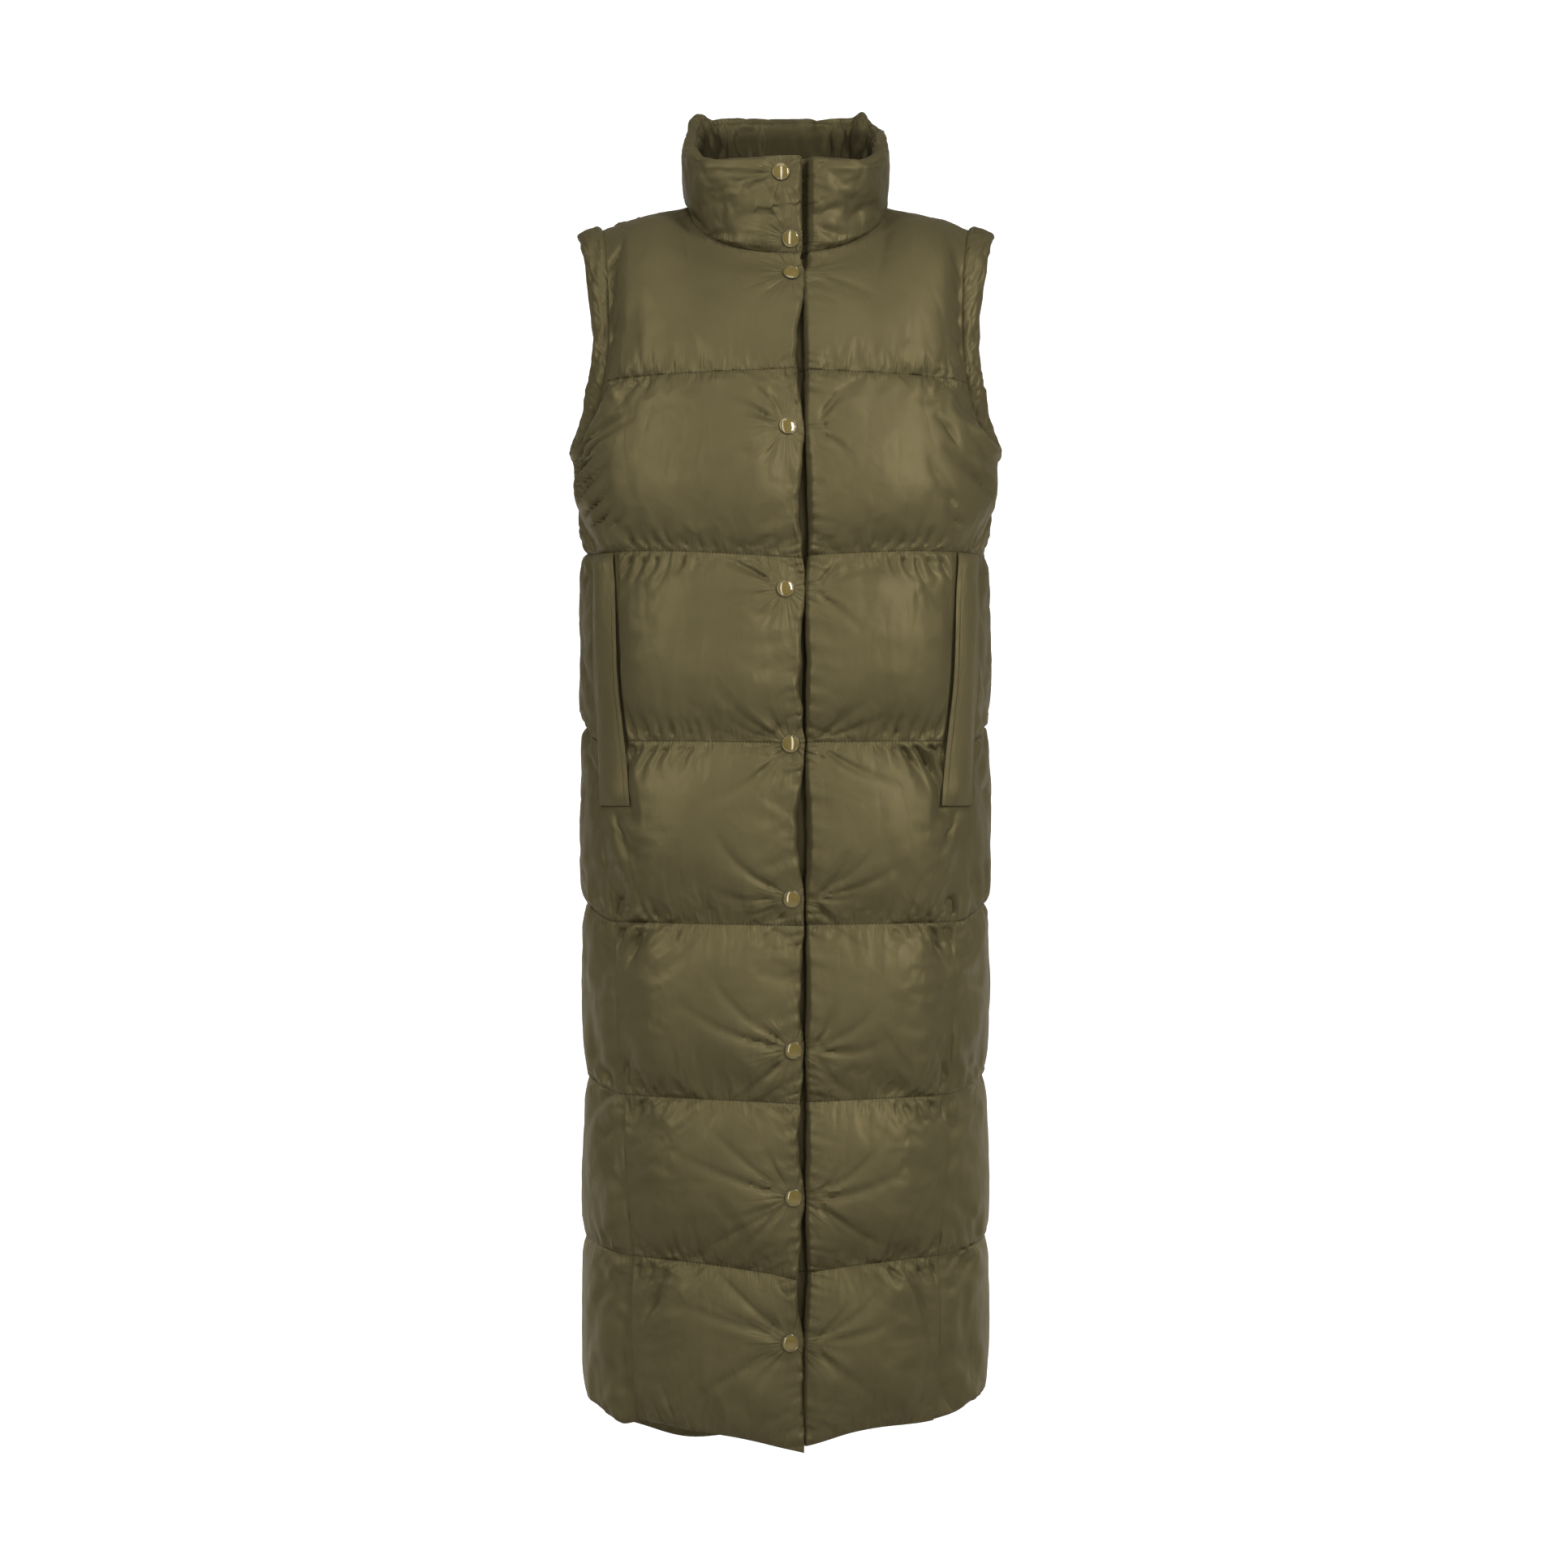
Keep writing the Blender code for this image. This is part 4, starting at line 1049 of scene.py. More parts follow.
# %% Both faces of a front
def front_faces(seed, folds, is_under):
    """The outer and inner faces of one front, as the wearer's left one."""
    held = (front_pinned, front_slack, 1, seed, front_gain())
    blown = pucker(front, front_out, fullness_front, *held, window=(14, 15))
    height, sideways = heights_over(front, front_out, blown)
    height = height + front_relief(seed, folds, is_under)
    covered = under_strip()
    height = height * (1 - covered) + (fullness_front - 0.0012) * covered
    if is_under:
        height, thick = lapped_under(height)
    else:
        height, thick, sideways = lapped_over(height, sideways)
    sway = front_sway(seed, is_under)
    outer = front + front_out * height[..., None] + sideways + sway
    below_neck = ease((TOP - 0.04 - FRONT_ROWS) / 0.1)[:, None]
    outer += (soft_points(outer, (5, 11)) - outer) * (by_neck * below_neck)[..., None]
    inner = front - front_out * thick[..., None] + sway
    return drawn_up(tucked(outer)), drawn_up(inner[::2, ::2])


print("the under front sinks", UNDER_LAP_SINK, "m along the lap")

# %% [markdown]
# ## Making both fronts
#
# The wearer's right front lies on top. Its folds are the placed drags, made finer and deeper so
# that they show on the side turned to the light, then the short ones from the loops, and those
# round its eight snaps. The left front is the same cut with folds of its own, as two real
# halves never crumple alike.
# %% The wearer's right front, on top
FINER, DEEPER = 0.62, 1.5

right_folds = [fold[:4] + (FINER * fold[4], DEEPER * fold[5]) + fold[6:] for fold in RIGHT_DRAG]
right_folds += side_folds(1.5) + varied(STRONG_FOLDS, 3)[4:]
for number, snap in enumerate(SNAPS[2:], 3):
    right_folds += snap_folds(number, Vector((-snap.x, 0, snap.z)), 1, 7, 0.030 + 0.004 * number)
right_outer, right_inner = front_faces(3, right_folds, False)
front_right = padded_panel(
    "front_right_padded", mirror_x(right_outer), mirror_x(right_inner), front_along, FRONT_ROWS,
    snaps=SNAPS[2:],
)
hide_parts("front_right")

# %% The wearer's left front, under it
LAP_EDGE = 0.024

left_folds = LEFT_DRAG + side_folds(6.5) + STRONG_FOLDS
for number, snap in enumerate(SNAPS[2:], 3):
    left_folds += snap_folds(number + 20, Vector((LAP_EDGE, 0, snap.z)), 1, 5, 0.026 + 0.003 * number)
left_outer, left_inner = front_faces(8, left_folds, True)
front_left = padded_panel(
    "front_left_padded", left_outer, left_inner, front_along, FRONT_ROWS, snaps=SNAPS[2:],
)
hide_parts("front_left")

# %% [markdown]
# ## The back
#
# The back is the widest piece. It wraps round both sides, where the chambers stay flatter, and its
# quilting lines turn up to meet those of the fronts at the side seams.
# %% The back panel
BACK_ROWS = row_steps(50)
BACK_SHARES = np.linspace(-1, 1, 221)
back = back_cut(BACK_ROWS, BACK_SHARES)
back_out = outward(back, BACK_ROWS, BACK_SHARES, BACK_NECK_SHARE, -1)
fullness_back = back_fill(BACK_ROWS, back)
back_along = row_arcs(back)
back_from_side = np.minimum(back_along, back_along[:, -1:] - back_along)
back_pinned = (np.abs(BACK_ROWS - np.round(BACK_ROWS)) < 1e-6)[:, None] | (back_from_side < 0.0005)
back_slack = 0.022 + 0.026 * (1 - ease((back_from_side - 0.02) / 0.10))


def back_folds():
    """Uneven short folds along the quilting lines, most of them towards the side seams."""
    folds = []
    for row in range(1, YOKE + 1):
        for k, middle in enumerate((-0.150, -0.128, -0.104, -0.070, 0.010, 0.062, 0.100, 0.126, 0.152)):
            a, b, c = (chance(row * 2.1, k * 3.7, j * 4.3 + 9) for j in range(3))
            x = middle + 0.012 * a
            z = float(quilting("z_back", row)) + (0.012 if abs(x) > 0.13 else 0.003)
            side = 1 if b > 0 else -1
            ends = (x, z + 0.006 * side, x + 0.030 * c, z + side * (0.035 + 0.03 * abs(a)))
            folds.append((*ends, 0.0040, -0.0062 * (0.6 + abs(c)), 0.25))
    return folds


print("back grid", back.shape[:2], "folds", len(back_folds()))

# %% The back panel, blown up
BACK_SIDE_CREASE, BACK_GATHER_SHARE = 0.0030, 1.35
BACK_HEM_DROP, BACK_HEM_WAVE = 0.0070, 0.0025

back_from_line = off_line(BACK_ROWS)
gain = 0.45 + 0.8 * np.exp(-back_from_line / LINE_REACH)
blown = pucker(back, back_out, fullness_back, back_pinned, back_slack, -1, 14, gain)
behind = ease((back[..., 1] - 0.02) / 0.04)
raised = press_folds(back, back_folds()) * behind * ease(back_from_line / 0.009)
at_back_sides = 1 - ease(back_from_side / 0.10)
raised += BACK_SIDE_CREASE * creased(unevenness(back * (1, 1, 0.55), 30, 61)) * at_back_sides
raised += BACK_GATHER_SHARE * gathers(back_along, BACK_ROWS, back_from_side, 51)
free = ease(np.minimum(back_from_line, back_from_side) / 0.004)
back_outer = tucked(blown + back_out * (raised * free)[..., None])
back_inner = back - back_out * (WALL + INNER_SHARE * fullness_back)[..., None]
small_waves = wander(back[..., 0] * 15, back[..., 1] * 15, 2.2)
hanging = BACK_HEM_DROP * hump(back[..., 0], -0.095, 0.050) + BACK_HEM_WAVE * small_waves
hanging *= ease(1 - BACK_ROWS / 0.7)[:, None] * ease(back_from_side / 0.02)
back_outer[..., 2] -= hanging
back_inner[..., 2] -= hanging
back_outer, back_inner = drawn_up(back_outer), drawn_up(back_inner[::2, ::2])
back_piece = padded_panel("back_padded", back_outer, back_inner, back_along, BACK_ROWS)
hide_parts("back")

# %% [markdown]
# ## The stand collar
#
# The collar is one padded strip round the neck, an oval at its seam and nearly a rounded square at
# its top, high at the back and low in front. Its under end hides inside its over end. It is blown up
# like the panels, outside and inside at once, with its two ends and its lower edges held.
# %% The collar's middle surface
COLLAR_TOP_HALF_WIDTH, COLLAR_TOP_FRONT, COLLAR_TOP_BACK, COLLAR_TOP_FULLNESS = 0.0895, 0.083, 0.072, 3.8
COLLAR_FRONT_TOP, COLLAR_SIDE_TOP, COLLAR_BACK_TOP = 0.027, 0.071, 0.104
COLLAR_STRAIGHT, STITCH_HEIGHT = 0.09, 0.90
COLLAR_CORNER, COLLAR_SIDE_SINK, COLLAR_OVER_RISE = 0.0090, 0.0034, 0.0030
COLLAR_HEIGHTS = np.array((0.0, 0.07, 0.22, 0.45, 0.70, 0.88, 0.97, 1.0))
COLLAR_OUTER = np.array((0.0, 0.0036, 0.0056, 0.0064, 0.0068, 0.0068, 0.0048, 0.0005))
COLLAR_INNER = np.array((0.0024, 0.0050, 0.0075, 0.0090, 0.0100, 0.0105, 0.0070, 0.0005))


def collar_middle(angle, height):
    """The collar's middle surface. Its top edge lies in a plane that falls towards the front."""
    bottom = neckline(angle)
    x, y = oval(angle, COLLAR_TOP_HALF_WIDTH, COLLAR_TOP_FRONT, COLLAR_TOP_BACK, COLLAR_TOP_FULLNESS)
    upright = ease((np.abs(bottom[..., 0]) - 0.020) / 0.050)
    x = np.where(y < 0, bottom[..., 0] + (x - bottom[..., 0]) * upright, x)
    share = (1 - (np.abs(x) / COLLAR_TOP_HALF_WIDTH) ** COLLAR_TOP_FULLNESS) ** (1 / COLLAR_TOP_FULLNESS)
    y = np.where(y < 0, -COLLAR_TOP_FRONT * share, y)
    depth = np.where(y > 0, COLLAR_TOP_BACK, COLLAR_TOP_FRONT)
    end = np.where(y > 0, COLLAR_BACK_TOP, COLLAR_FRONT_TOP)
    corners = COLLAR_CORNER * (hump(x, -0.084, 0.0070) + hump(x, 0.074, 0.0075))
    rise = (end - COLLAR_SIDE_TOP) * np.abs(y) / depth + corners * ease(y / 0.050)
    top = np.stack((x, y, COLLAR_SIDE_TOP + rise), axis=-1)
    point = bottom + (top - bottom) * np.array((ease(height), ease(height), height))
    point[..., 2] += SEAM_GAP * (1 - height)
    return point


def collar_angles(count):
    """Even steps along the neckline from the under end right round to the over end."""
    angles = np.linspace(-LAP_ANGLE, 2 * math.pi + LAP_ANGLE, 2000)
    along = arc_lengths(neckline(angles))
    return np.interp(np.linspace(0, along[-1], count), along, angles)


print("collar top", COLLAR_BACK_TOP, "m behind,", COLLAR_FRONT_TOP, "m in front")

# %% The grid of the collar and its fullness
even = np.linspace(0, 1, 43)
heights = 0.6 * (0.5 - 0.5 * np.cos(np.linspace(0, math.pi, len(even)))) + 0.4 * even
angles = collar_angles(325)
collar = np.array([collar_middle(angles, height) for height in heights])
across = np.cross(np.gradient(collar, axis=1), (0.0, 0.0, 1.0))
across /= np.linalg.norm(across, axis=2, keepdims=True)
collar_along = arc_lengths(collar[len(heights) // 2])
near_end = np.minimum(collar_along, collar_along[-1] - collar_along)
lapped = 1 - ease((collar_along - 0.0290) / 0.012)
fill = (0.35 + 0.65 * ease((near_end - 0.020) / 0.040)) * rolled(near_end + 0.0004, 0.004)
outer_fill = np.interp(heights, COLLAR_HEIGHTS, COLLAR_OUTER)[:, None] * fill
at_sides = ease((np.abs(collar[..., 0]) - 0.066) / 0.018)
outer_fill -= COLLAR_SIDE_SINK * at_sides * ease(heights / 0.25)[:, None] * ease((1 - heights) / 0.08)[:, None]
over = ease((collar_along - collar_along[-1] + 0.060) / 0.040)
outer_fill = outer_fill + COLLAR_OVER_RISE * over * rolled(near_end, 0.004) * ease(heights / 0.15)[:, None]
inner_fill = np.interp(heights, COLLAR_HEIGHTS, COLLAR_INNER)[:, None] * np.maximum(fill, 0.5)
inner_fill *= 1 - 0.22 * hump(heights, STITCH_HEIGHT, 0.035)[:, None]
print("collar strip", collar.shape[:2], "length", round(float(collar_along[-1]), 3))

# %% [markdown]
# ## Blowing the collar up
#
# Both sides of the strip join over the rim, so they are blown up as one sheet. The collar stands
# in upright and slanting creases, softer at the front, and its foot shows a few slits where the
# neck seam draws it in.
# %% The collar, blown up and creased
COLLAR_SLACK, UPRIGHT_HEIGHT, SLANTING_HEIGHT = 0.045, 0.0024, 0.0019

outer_side = (collar, across, outer_fill)
inner_side = (collar[-2::-1], -across[-2::-1], inner_fill[-2::-1])
strip, strip_out, strip_fill = (np.concatenate(pair) for pair in zip(outer_side, inner_side))
strip_heights = np.concatenate((heights, heights[-2::-1]))
stitch_row = int(np.argmin(np.abs(heights - STITCH_HEIGHT)))
strip_pinned = np.zeros(strip_fill.shape, bool)
strip_pinned[[0, -1, -1 - stitch_row]] = True
strip_pinned[:, [0, 1, -2, -1]] = True
strip_slack = np.full(strip_fill.shape, COLLAR_SLACK)
strip_blown = pucker(strip, strip_out, strip_fill, strip_pinned, strip_slack, 1, 21, 0.5, window=(16, 26))
strip_height, strip_side = heights_over(strip, strip_out, strip_blown)
leaning = strip @ np.array(((0.6, 0, 0.8), (0, 1, 0), (-0.5, 0, 0.6)))
in_back = strip[..., 1] > 0.01
upright_folds = creased(unevenness(strip * (1, 1, 0.30), 58, 4)) * np.where(in_back, 1.0, 0.30)
slanting_folds = creased(unevenness(leaning, 46, 6)) * np.where(in_back, 1.0, 0.55)
strip_height += (UPRIGHT_HEIGHT * upright_folds + SLANTING_HEIGHT * slanting_folds) * ease(strip_fill / 0.006)
print("the collar's stitched line is row", stitch_row, "of", len(heights))

# %% Folds of the collar
# Slits at the foot, drags from the two snaps and slanting creases: x, z, x, z, width, height, start.
COLLAR_FOLDS = [
    (-0.085, -0.010, -0.064, -0.036, 0.0045, -0.0075, 0.30),
    (-0.091, 0.004, -0.078, -0.018, 0.0040, -0.0045, 0.30),
    (-0.070, -0.036, -0.040, -0.040, 0.0040, -0.0040, 0.30),
    (-0.006, -0.020, -0.038, 0.010, 0.0048, -0.0036, 0.10),
    (-0.008, -0.026, -0.052, -0.032, 0.0042, -0.0042, 0.10),
    (-0.010, 0.026, -0.036, -0.012, 0.0045, -0.0034, 0.10),
    (-0.012, 0.034, -0.050, 0.030, 0.0045, -0.0028, 0.10),
    (-0.072, 0.045, -0.044, 0.030, 0.0050, -0.0032, 0.30),
    (0.096, -0.010, 0.078, -0.036, 0.0045, -0.0070, 0.30),
    (0.084, -0.022, 0.066, -0.042, 0.0040, -0.0050, 0.30),
    (0.024, 0.014, 0.056, 0.030, 0.0048, -0.0036, 0.10),
    (0.020, -0.024, 0.062, -0.006, 0.0048, -0.0034, 0.10),
    (0.054, -0.026, 0.086, 0.004, 0.0045, -0.0036, 0.30),
    (0.030, -0.034, 0.060, -0.038, 0.0040, -0.0036, 0.20),
    (0.060, 0.040, 0.082, 0.020, 0.0050, -0.0030, 0.30),
]
outside = (np.arange(len(strip_heights)) < len(heights))[:, None]
in_front = ease((0.02 - strip[..., 1]) / 0.03) * outside
strip_height += press_folds(strip, COLLAR_FOLDS) * in_front * ease(strip_heights / 0.06)[:, None]
target = np.where(outside, -UNDER_LAP_SINK, UNDER_LAP_SINK + UNDER_LAP_WALL)
strip_height = strip_height * (1 - lapped) + target * lapped
over_end = outside & (np.arange(strip.shape[1]) > strip.shape[1] // 2)
strip_height = np.where(over_end, seated(strip, strip_out, strip_height, (1, 2)), strip_height)
strip_points = strip + strip_out * strip_height[..., None] + strip_side * (1 - lapped)[:, None]
print("collar folds", len(COLLAR_FOLDS))

# %% The collar, closed
build = new_build()
vertices = cloth_grid(build, *strip_points.shape[:2])
place(vertices, strip_points)
strip_up = np.concatenate((heights, 2 - heights[-2::-1])) * COLLAR_STRAIGHT
from_stitch = np.minimum(np.abs(strip_heights - heights[stitch_row]), strip_heights) * COLLAR_STRAIGHT
from_stitch[: len(heights)] = strip_heights[: len(heights)] * COLLAR_STRAIGHT
spread(build, vertices, np.tile(collar_along, (len(strip_up), 1)), strip_up[:, None],
       np.tile(from_stitch[:, None], (1, len(collar_along))))
mark_snaps(build, SNAPS[:2])
count = len(collar_along)
ends = set(vertices[:count]), set(vertices[-count:])
rims = [edge for edge in build.edges if any(edge.verts[0] in end and edge.verts[1] in end for end in ends)]
bmesh.ops.bridge_loops(build, edges=rims)
bmesh.ops.holes_fill(build, edges=[edge for edge in build.edges if edge.is_boundary])
collar_piece = finish_piece("collar_padded", build)
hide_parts("collar")

# %% [markdown]
# ## The armhole bands
#
# Each armhole is edged with a narrow padded tube that is sewn on under tension, so it twists in
# short slanting wrinkles. The solid's own ring is a good cage for it: it is rounded by subdivision,
# and the wrinkles are waves that run slantwise over it, stronger in some places than in others.
# %% Twisted narrow tubes round the armholes
BAND_TURN, BAND_SLANT, BAND_WRINKLE, BAND_GRAIN = 66, 420, 0.0030, 0.0008
BAND_TOP_FILL, BAND_FOOT_FILL = 0.0024, 0.0034


def clean_copy(node):
    """A copy of a solid's mesh in a bmesh, its loose triangles joined again."""
    build = new_build()
    build.from_mesh(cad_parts[node].data)
    bmesh.ops.remove_doubles(build, verts=build.verts, dist=1e-5)
    return build


def band_waves(points, normals, seed):
    """How far each point of a band stands out: slanting wrinkles, and full where it meets the body."""
    centre = (points.max(axis=0) + points.min(axis=0)) / 2
    turn = np.arctan2(points[:, 2] - centre[2], points[:, 1] - centre[1])
    out = np.abs(points[:, 0])
    round_it = np.stack((np.cos(turn), np.sin(turn), out * 6), axis=-1)
    phase = BAND_TURN * turn + BAND_SLANT * out + 7 * unevenness(round_it * 0.09, 16, seed)
    strength = 0.65 + 0.45 * unevenness(round_it * 0.09, 22, seed + 5)
    wave = BAND_WRINKLE * (np.abs(np.sin(phase / 2)) ** 0.7 - 0.55) * strength
    wave = wave + BAND_GRAIN * unevenness(points, 180, seed)
    to_body = -normals[:, 0] * np.sign(points[:, 0])
    at_top = ease((points[:, 2] + 0.085) / 0.045)
    wave = np.where(to_body > 0.2, np.maximum(wave, 0.0004) + BAND_TOP_FILL * at_top, wave)
    at_bottom = ease((-0.222 - points[:, 2]) / 0.020)
    beneath = (to_body > 0.0) & (normals[:, 2] < -0.2)
    return np.where(beneath, np.maximum(wave, 0) + BAND_FOOT_FILL * at_bottom, wave)


print("a band has", BAND_TURN, "wrinkles round its armhole")

# %% Both bands
def armhole_band(side, seed):
    """The padded tube round one armhole, cut off slantwise where it meets the shoulder."""
    build = clean_copy(f"armhole_band_{side}")
    bmesh.ops.subdivide_edges(build, edges=build.edges, cuts=3, use_grid_fill=True, smooth=0.6)
    build.normal_update()
    points = np.array([vertex.co for vertex in build.verts])
    normals = np.array([vertex.normal for vertex in build.verts])
    points += normals * band_waves(points, normals, seed)[:, None]
    crest = -0.0200 - 0.37 * (np.abs(points[:, 0]) - 0.175)
    points[:, 2] -= soft_excess(points[:, 2] - crest, 0.0010)
    for vertex, point in zip(build.verts, pointed(points)):
        vertex.co = point
    every_way = {f"use_axis_{axis}": True for axis in "xyz"}
    bmesh.ops.smooth_vert(build, verts=build.verts, factor=0.3, **every_way)
    piece = finish_piece(f"armhole_band_{side}_padded", build)
    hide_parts(f"armhole_band_{side}")
    return piece


band_left = armhole_band("left", 31)
band_right = armhole_band("right", 37)

# %% [markdown]
# ## The pocket strips
#
# The outer fifth of each front, from the second quilting line down, is covered by a flat single
# cloth. It is stitched along its top, bottom and side, and its inner edge is the pocket's mouth,
# which stands off a little. A single cloth is a thin shell with a slack, wandering surface.
# %% A flat cloth over the side of each front
STRIP_WALL, STRIP_HEM = 0.0009, 0.004
STRIP_REST, STRIP_MOUTH, STRIP_BOW, STRIP_BOW_VARIES, STRIP_SLACK = 0.0010, 0.0026, 0.0030, 0.0016, 0.0009


def strip_rows():
    """The front's grid lines that a strip covers, and how far up the strip each lies, 0 to 1."""
    chosen = np.where((FRONT_ROWS > POCKET_BOTTOM) & (FRONT_ROWS < POCKET_TOP + 0.004))[0][::2]
    rows = FRONT_ROWS[chosen]
    return chosen, rows, (rows - rows[0]) / (rows[-1] - rows[0])


def over_strip(values, chosen, high, inwards):
    """The front's own values at even steps from the strip's mouth to the side seam."""
    lines = []
    for line, share in zip(chosen, high):
        wanted = 0.0004 + (POCKET_WIDE + 0.004 - 0.006 * share) * inwards
        lines.append([np.interp(wanted, front_from_side[line, ::-1], part[::-1]) for part in values[line].T])
    return np.array(lines).transpose(0, 2, 1)


def strip_lift(base, t, inwards, seed):
    """How far a strip stands off the front: it bows out a little, and its mouth stands open."""
    held = ease(np.minimum(t, 1 - t) / 0.05)[:, None]
    mouth = np.sin(math.pi * np.clip((t - 0.12) / 0.72, 0, 1))[:, None] ** 1.5 * inwards[None, :] ** 2
    slack = unevenness(base * (1, 1, 0.30), 42, seed)
    uneven = unevenness(base * (1, 1, 0.22), 30, seed + 2)
    bow = held * np.sin(math.pi * inwards) * (STRIP_BOW + STRIP_BOW_VARIES * uneven)
    small = STRIP_SLACK * slack * held * np.sin(math.pi * np.clip(inwards * 1.2, 0, 1))
    return held, STRIP_REST + STRIP_MOUTH * mouth + bow + small


print("strips are", STRIP_WALL, "m thick")

# %% Both strips
def pocket_strip(side, seed):
    """The flat cloth over one front's side, laid on the front and sewn down on three sides."""
    chosen, rows, t = strip_rows()
    inwards = 1 - np.linspace(0, 1, 33)
    base, out, level = (
        over_strip(values, chosen, t, inwards) for values in (front, front_out, fullness_front[..., None])
    )
    level = level[..., 0]
    held, lift = strip_lift(base, t, inwards, seed)
    height = level + (np.maximum(soft(level, (16, 1)), level) - level) * held + lift
    faces = [base + out * (height + wall)[..., None] for wall in (STRIP_WALL, 0.0)]
    if side == "right":
        faces = [mirror_x(points) for points in faces]
    build = new_build()
    along = row_arcs(base)
    up = (rows - rows[0])[:, None] * ROW_HEIGHT
    edge = np.minimum(np.minimum(along, along[:, -1:] - along), np.minimum(up, up[-1] - up))
    for points in faces:
        vertices = cloth_grid(build, *points.shape[:2])
        place(vertices, points)
        spread(build, vertices, along, up, np.abs(edge - STRIP_HEM) + 0.0002)
    bmesh.ops.bridge_loops(build, edges=[edge for edge in build.edges if edge.is_boundary])
    piece = finish_piece(f"pocket_strip_{side}_cloth", build)
    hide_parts(f"pocket_strip_{side}")
    return piece


strip_left = pocket_strip("left", 41)
strip_right = pocket_strip("right", 47)

# %% [markdown]
# ## The snaps
#
# The caps are pressed metal discs under khaki enamel: a shallow dome, a groove and a rolled rim.
# One profile is spun, and each copy is laid on the solid's cap, whose own flat side gives the tilt.
# %% Ten enamelled caps
CAP_RADIUS = 0.0078
CAP_PROFILE = (
    (0.0, 0.0), (0.0068, 0.0), (0.0075, 0.0003), (CAP_RADIUS, 0.0009), (CAP_RADIUS, 0.0014), (0.0075, 0.0018),
    (0.0071, 0.0019), (0.0069, 0.0015), (0.0066, 0.0015), (0.0060, 0.00175), (0.0045, 0.0020),
    (0.0025, 0.00218), (0.0, 0.00225),
)


def cap(number):
    """One cap, spun from its profile. Its layer tells how far inside the rim a point lies."""
    build = new_build()
    profile = [build.verts.new((radius, 0, height)) for radius, height in CAP_PROFILE]
    lines = [build.edges.new(pair) for pair in zip(profile, profile[1:])]
    bmesh.ops.spin(build, geom=profile + lines, axis=(0, 0, 1), cent=(0, 0, 0), angle=2 * math.pi, steps=48,
                   use_merge=True)
    bmesh.ops.remove_doubles(build, verts=build.verts, dist=1e-6)
    inside = build.verts.layers.float["from_seam"]
    for vertex in build.verts:
        # The foot counts as outside the rim, so the enamel paints a dark shadow round it.
        below_rim = 0.0 if vertex.co.z > 0.0012 else -0.001
        vertex[inside] = CAP_RADIUS - math.hypot(vertex.co.x, vertex.co.y) + below_rim
    base, axis = cap_frame(number)
    bmesh.ops.rotate(build, verts=build.verts, cent=(0, 0, 0), matrix=axis.to_track_quat("Z", "Y").to_matrix())
    bmesh.ops.translate(build, verts=build.verts, vec=base)
    piece = finish_piece(f"snap_cap_{number:02d}_enamel", build)
    bevel = piece.modifiers.new("round", "SUBSURF")
    bevel.levels = bevel.render_levels = 1
    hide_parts(f"snap_cap_{number:02d}")
    return piece


caps = [cap(number) for number in range(1, 11)]

# %% [markdown]
# ## Finishes
#
# All the cloth is one olive nylon with a soft sheen. Its looks come from small things: a fine weave,
# a cloudy unevenness where down shows through, tiny gathers where the thread pulls, and the thread
# itself, a dotted line sunk along every seam. Numbers that vary over the cloth are worked out with a
# small class that turns Python's operators into Math nodes.
# %% Shader maths in Python
class Value:
    """A socket that takes part in arithmetic."""

    def __init__(self, tree, socket):
        self.tree = tree
        self.socket = socket

    def node(self, kind, settings=None, **inputs):
        """A new node. An input is named, or numbered as i0, i1 and so on."""
        made = self.tree.nodes.new(kind)
        for key, setting in (settings or {}).items():
            setattr(made, key, setting)
        for key, value in inputs.items():
            socket = made.inputs[int(key[1:])] if key[0] == "i" and key[1:].isdigit() else made.inputs[key]
            if isinstance(value, Value):
                self.tree.links.new(value.socket, socket)
            else:
                socket.default_value = value
        return made

    def result(self, kind, output=0, settings=None, **inputs):
        """One output of a new node."""
        return Value(self.tree, self.node(kind, settings, **inputs).outputs[output])

    def maths(self, operation, first, second=0.0, third=0.0):
        return self.result("ShaderNodeMath", 0, {"operation": operation}, i0=first, i1=second, i2=third)

    def __add__(self, other):
        return self.maths("ADD", self, other)

    def __radd__(self, other):
        return self.maths("ADD", other, self)

    def __sub__(self, other):
        return self.maths("SUBTRACT", self, other)

    def __rsub__(self, other):
        return self.maths("SUBTRACT", other, self)

    def __mul__(self, other):
        return self.maths("MULTIPLY", self, other)

    def __rmul__(self, other):
        return self.maths("MULTIPLY", other, self)

    def __truediv__(self, other):
        return self.maths("DIVIDE", self, other)

    def sine(self):
        return self.maths("SINE", self)

    def size(self):
        return self.maths("ABSOLUTE", self)

    def parts(self):
        """The three parts of a vector."""
        made = self.node("ShaderNodeSeparateXYZ", None, i0=self)
        return [Value(self.tree, socket) for socket in made.outputs]

    def into(self, socket):
        self.tree.links.new(self.socket, socket)

    def between(self, low, high):
        """0 at low, 1 at high, smooth between."""
        limits = {"From Min": low, "From Max": high}
        return self.result("ShaderNodeMapRange", 0, {"interpolation_type": "SMOOTHSTEP"}, Value=self, **limits)


print("maths nodes come from Python's operators")

# %% Materials, mixes and noise
def fresh_material(name):
    """A new material, its Principled shader, and a value to start its arithmetic from."""
    made = bpy.data.materials.new(name)
    made.use_nodes = True
    return made, made.node_tree.nodes["Principled BSDF"], Value(made.node_tree, None)


def mixed(start, factor, first, second):
    return start.result("ShaderNodeMix", 2, {"data_type": "RGBA"}, Factor=factor, i6=first, i7=second)


def noise_at(start, where, scale, detail=2.0):
    return start.result("ShaderNodeTexNoise", 0, None, Vector=where, Scale=scale, Detail=detail)


def vector(start, x, y, z):
    return start.result("ShaderNodeCombineXYZ", 0, None, X=x, Y=y, Z=z)


def attribute(start, name, output="Fac"):
    return start.result("ShaderNodeAttribute", output, {"attribute_name": name})


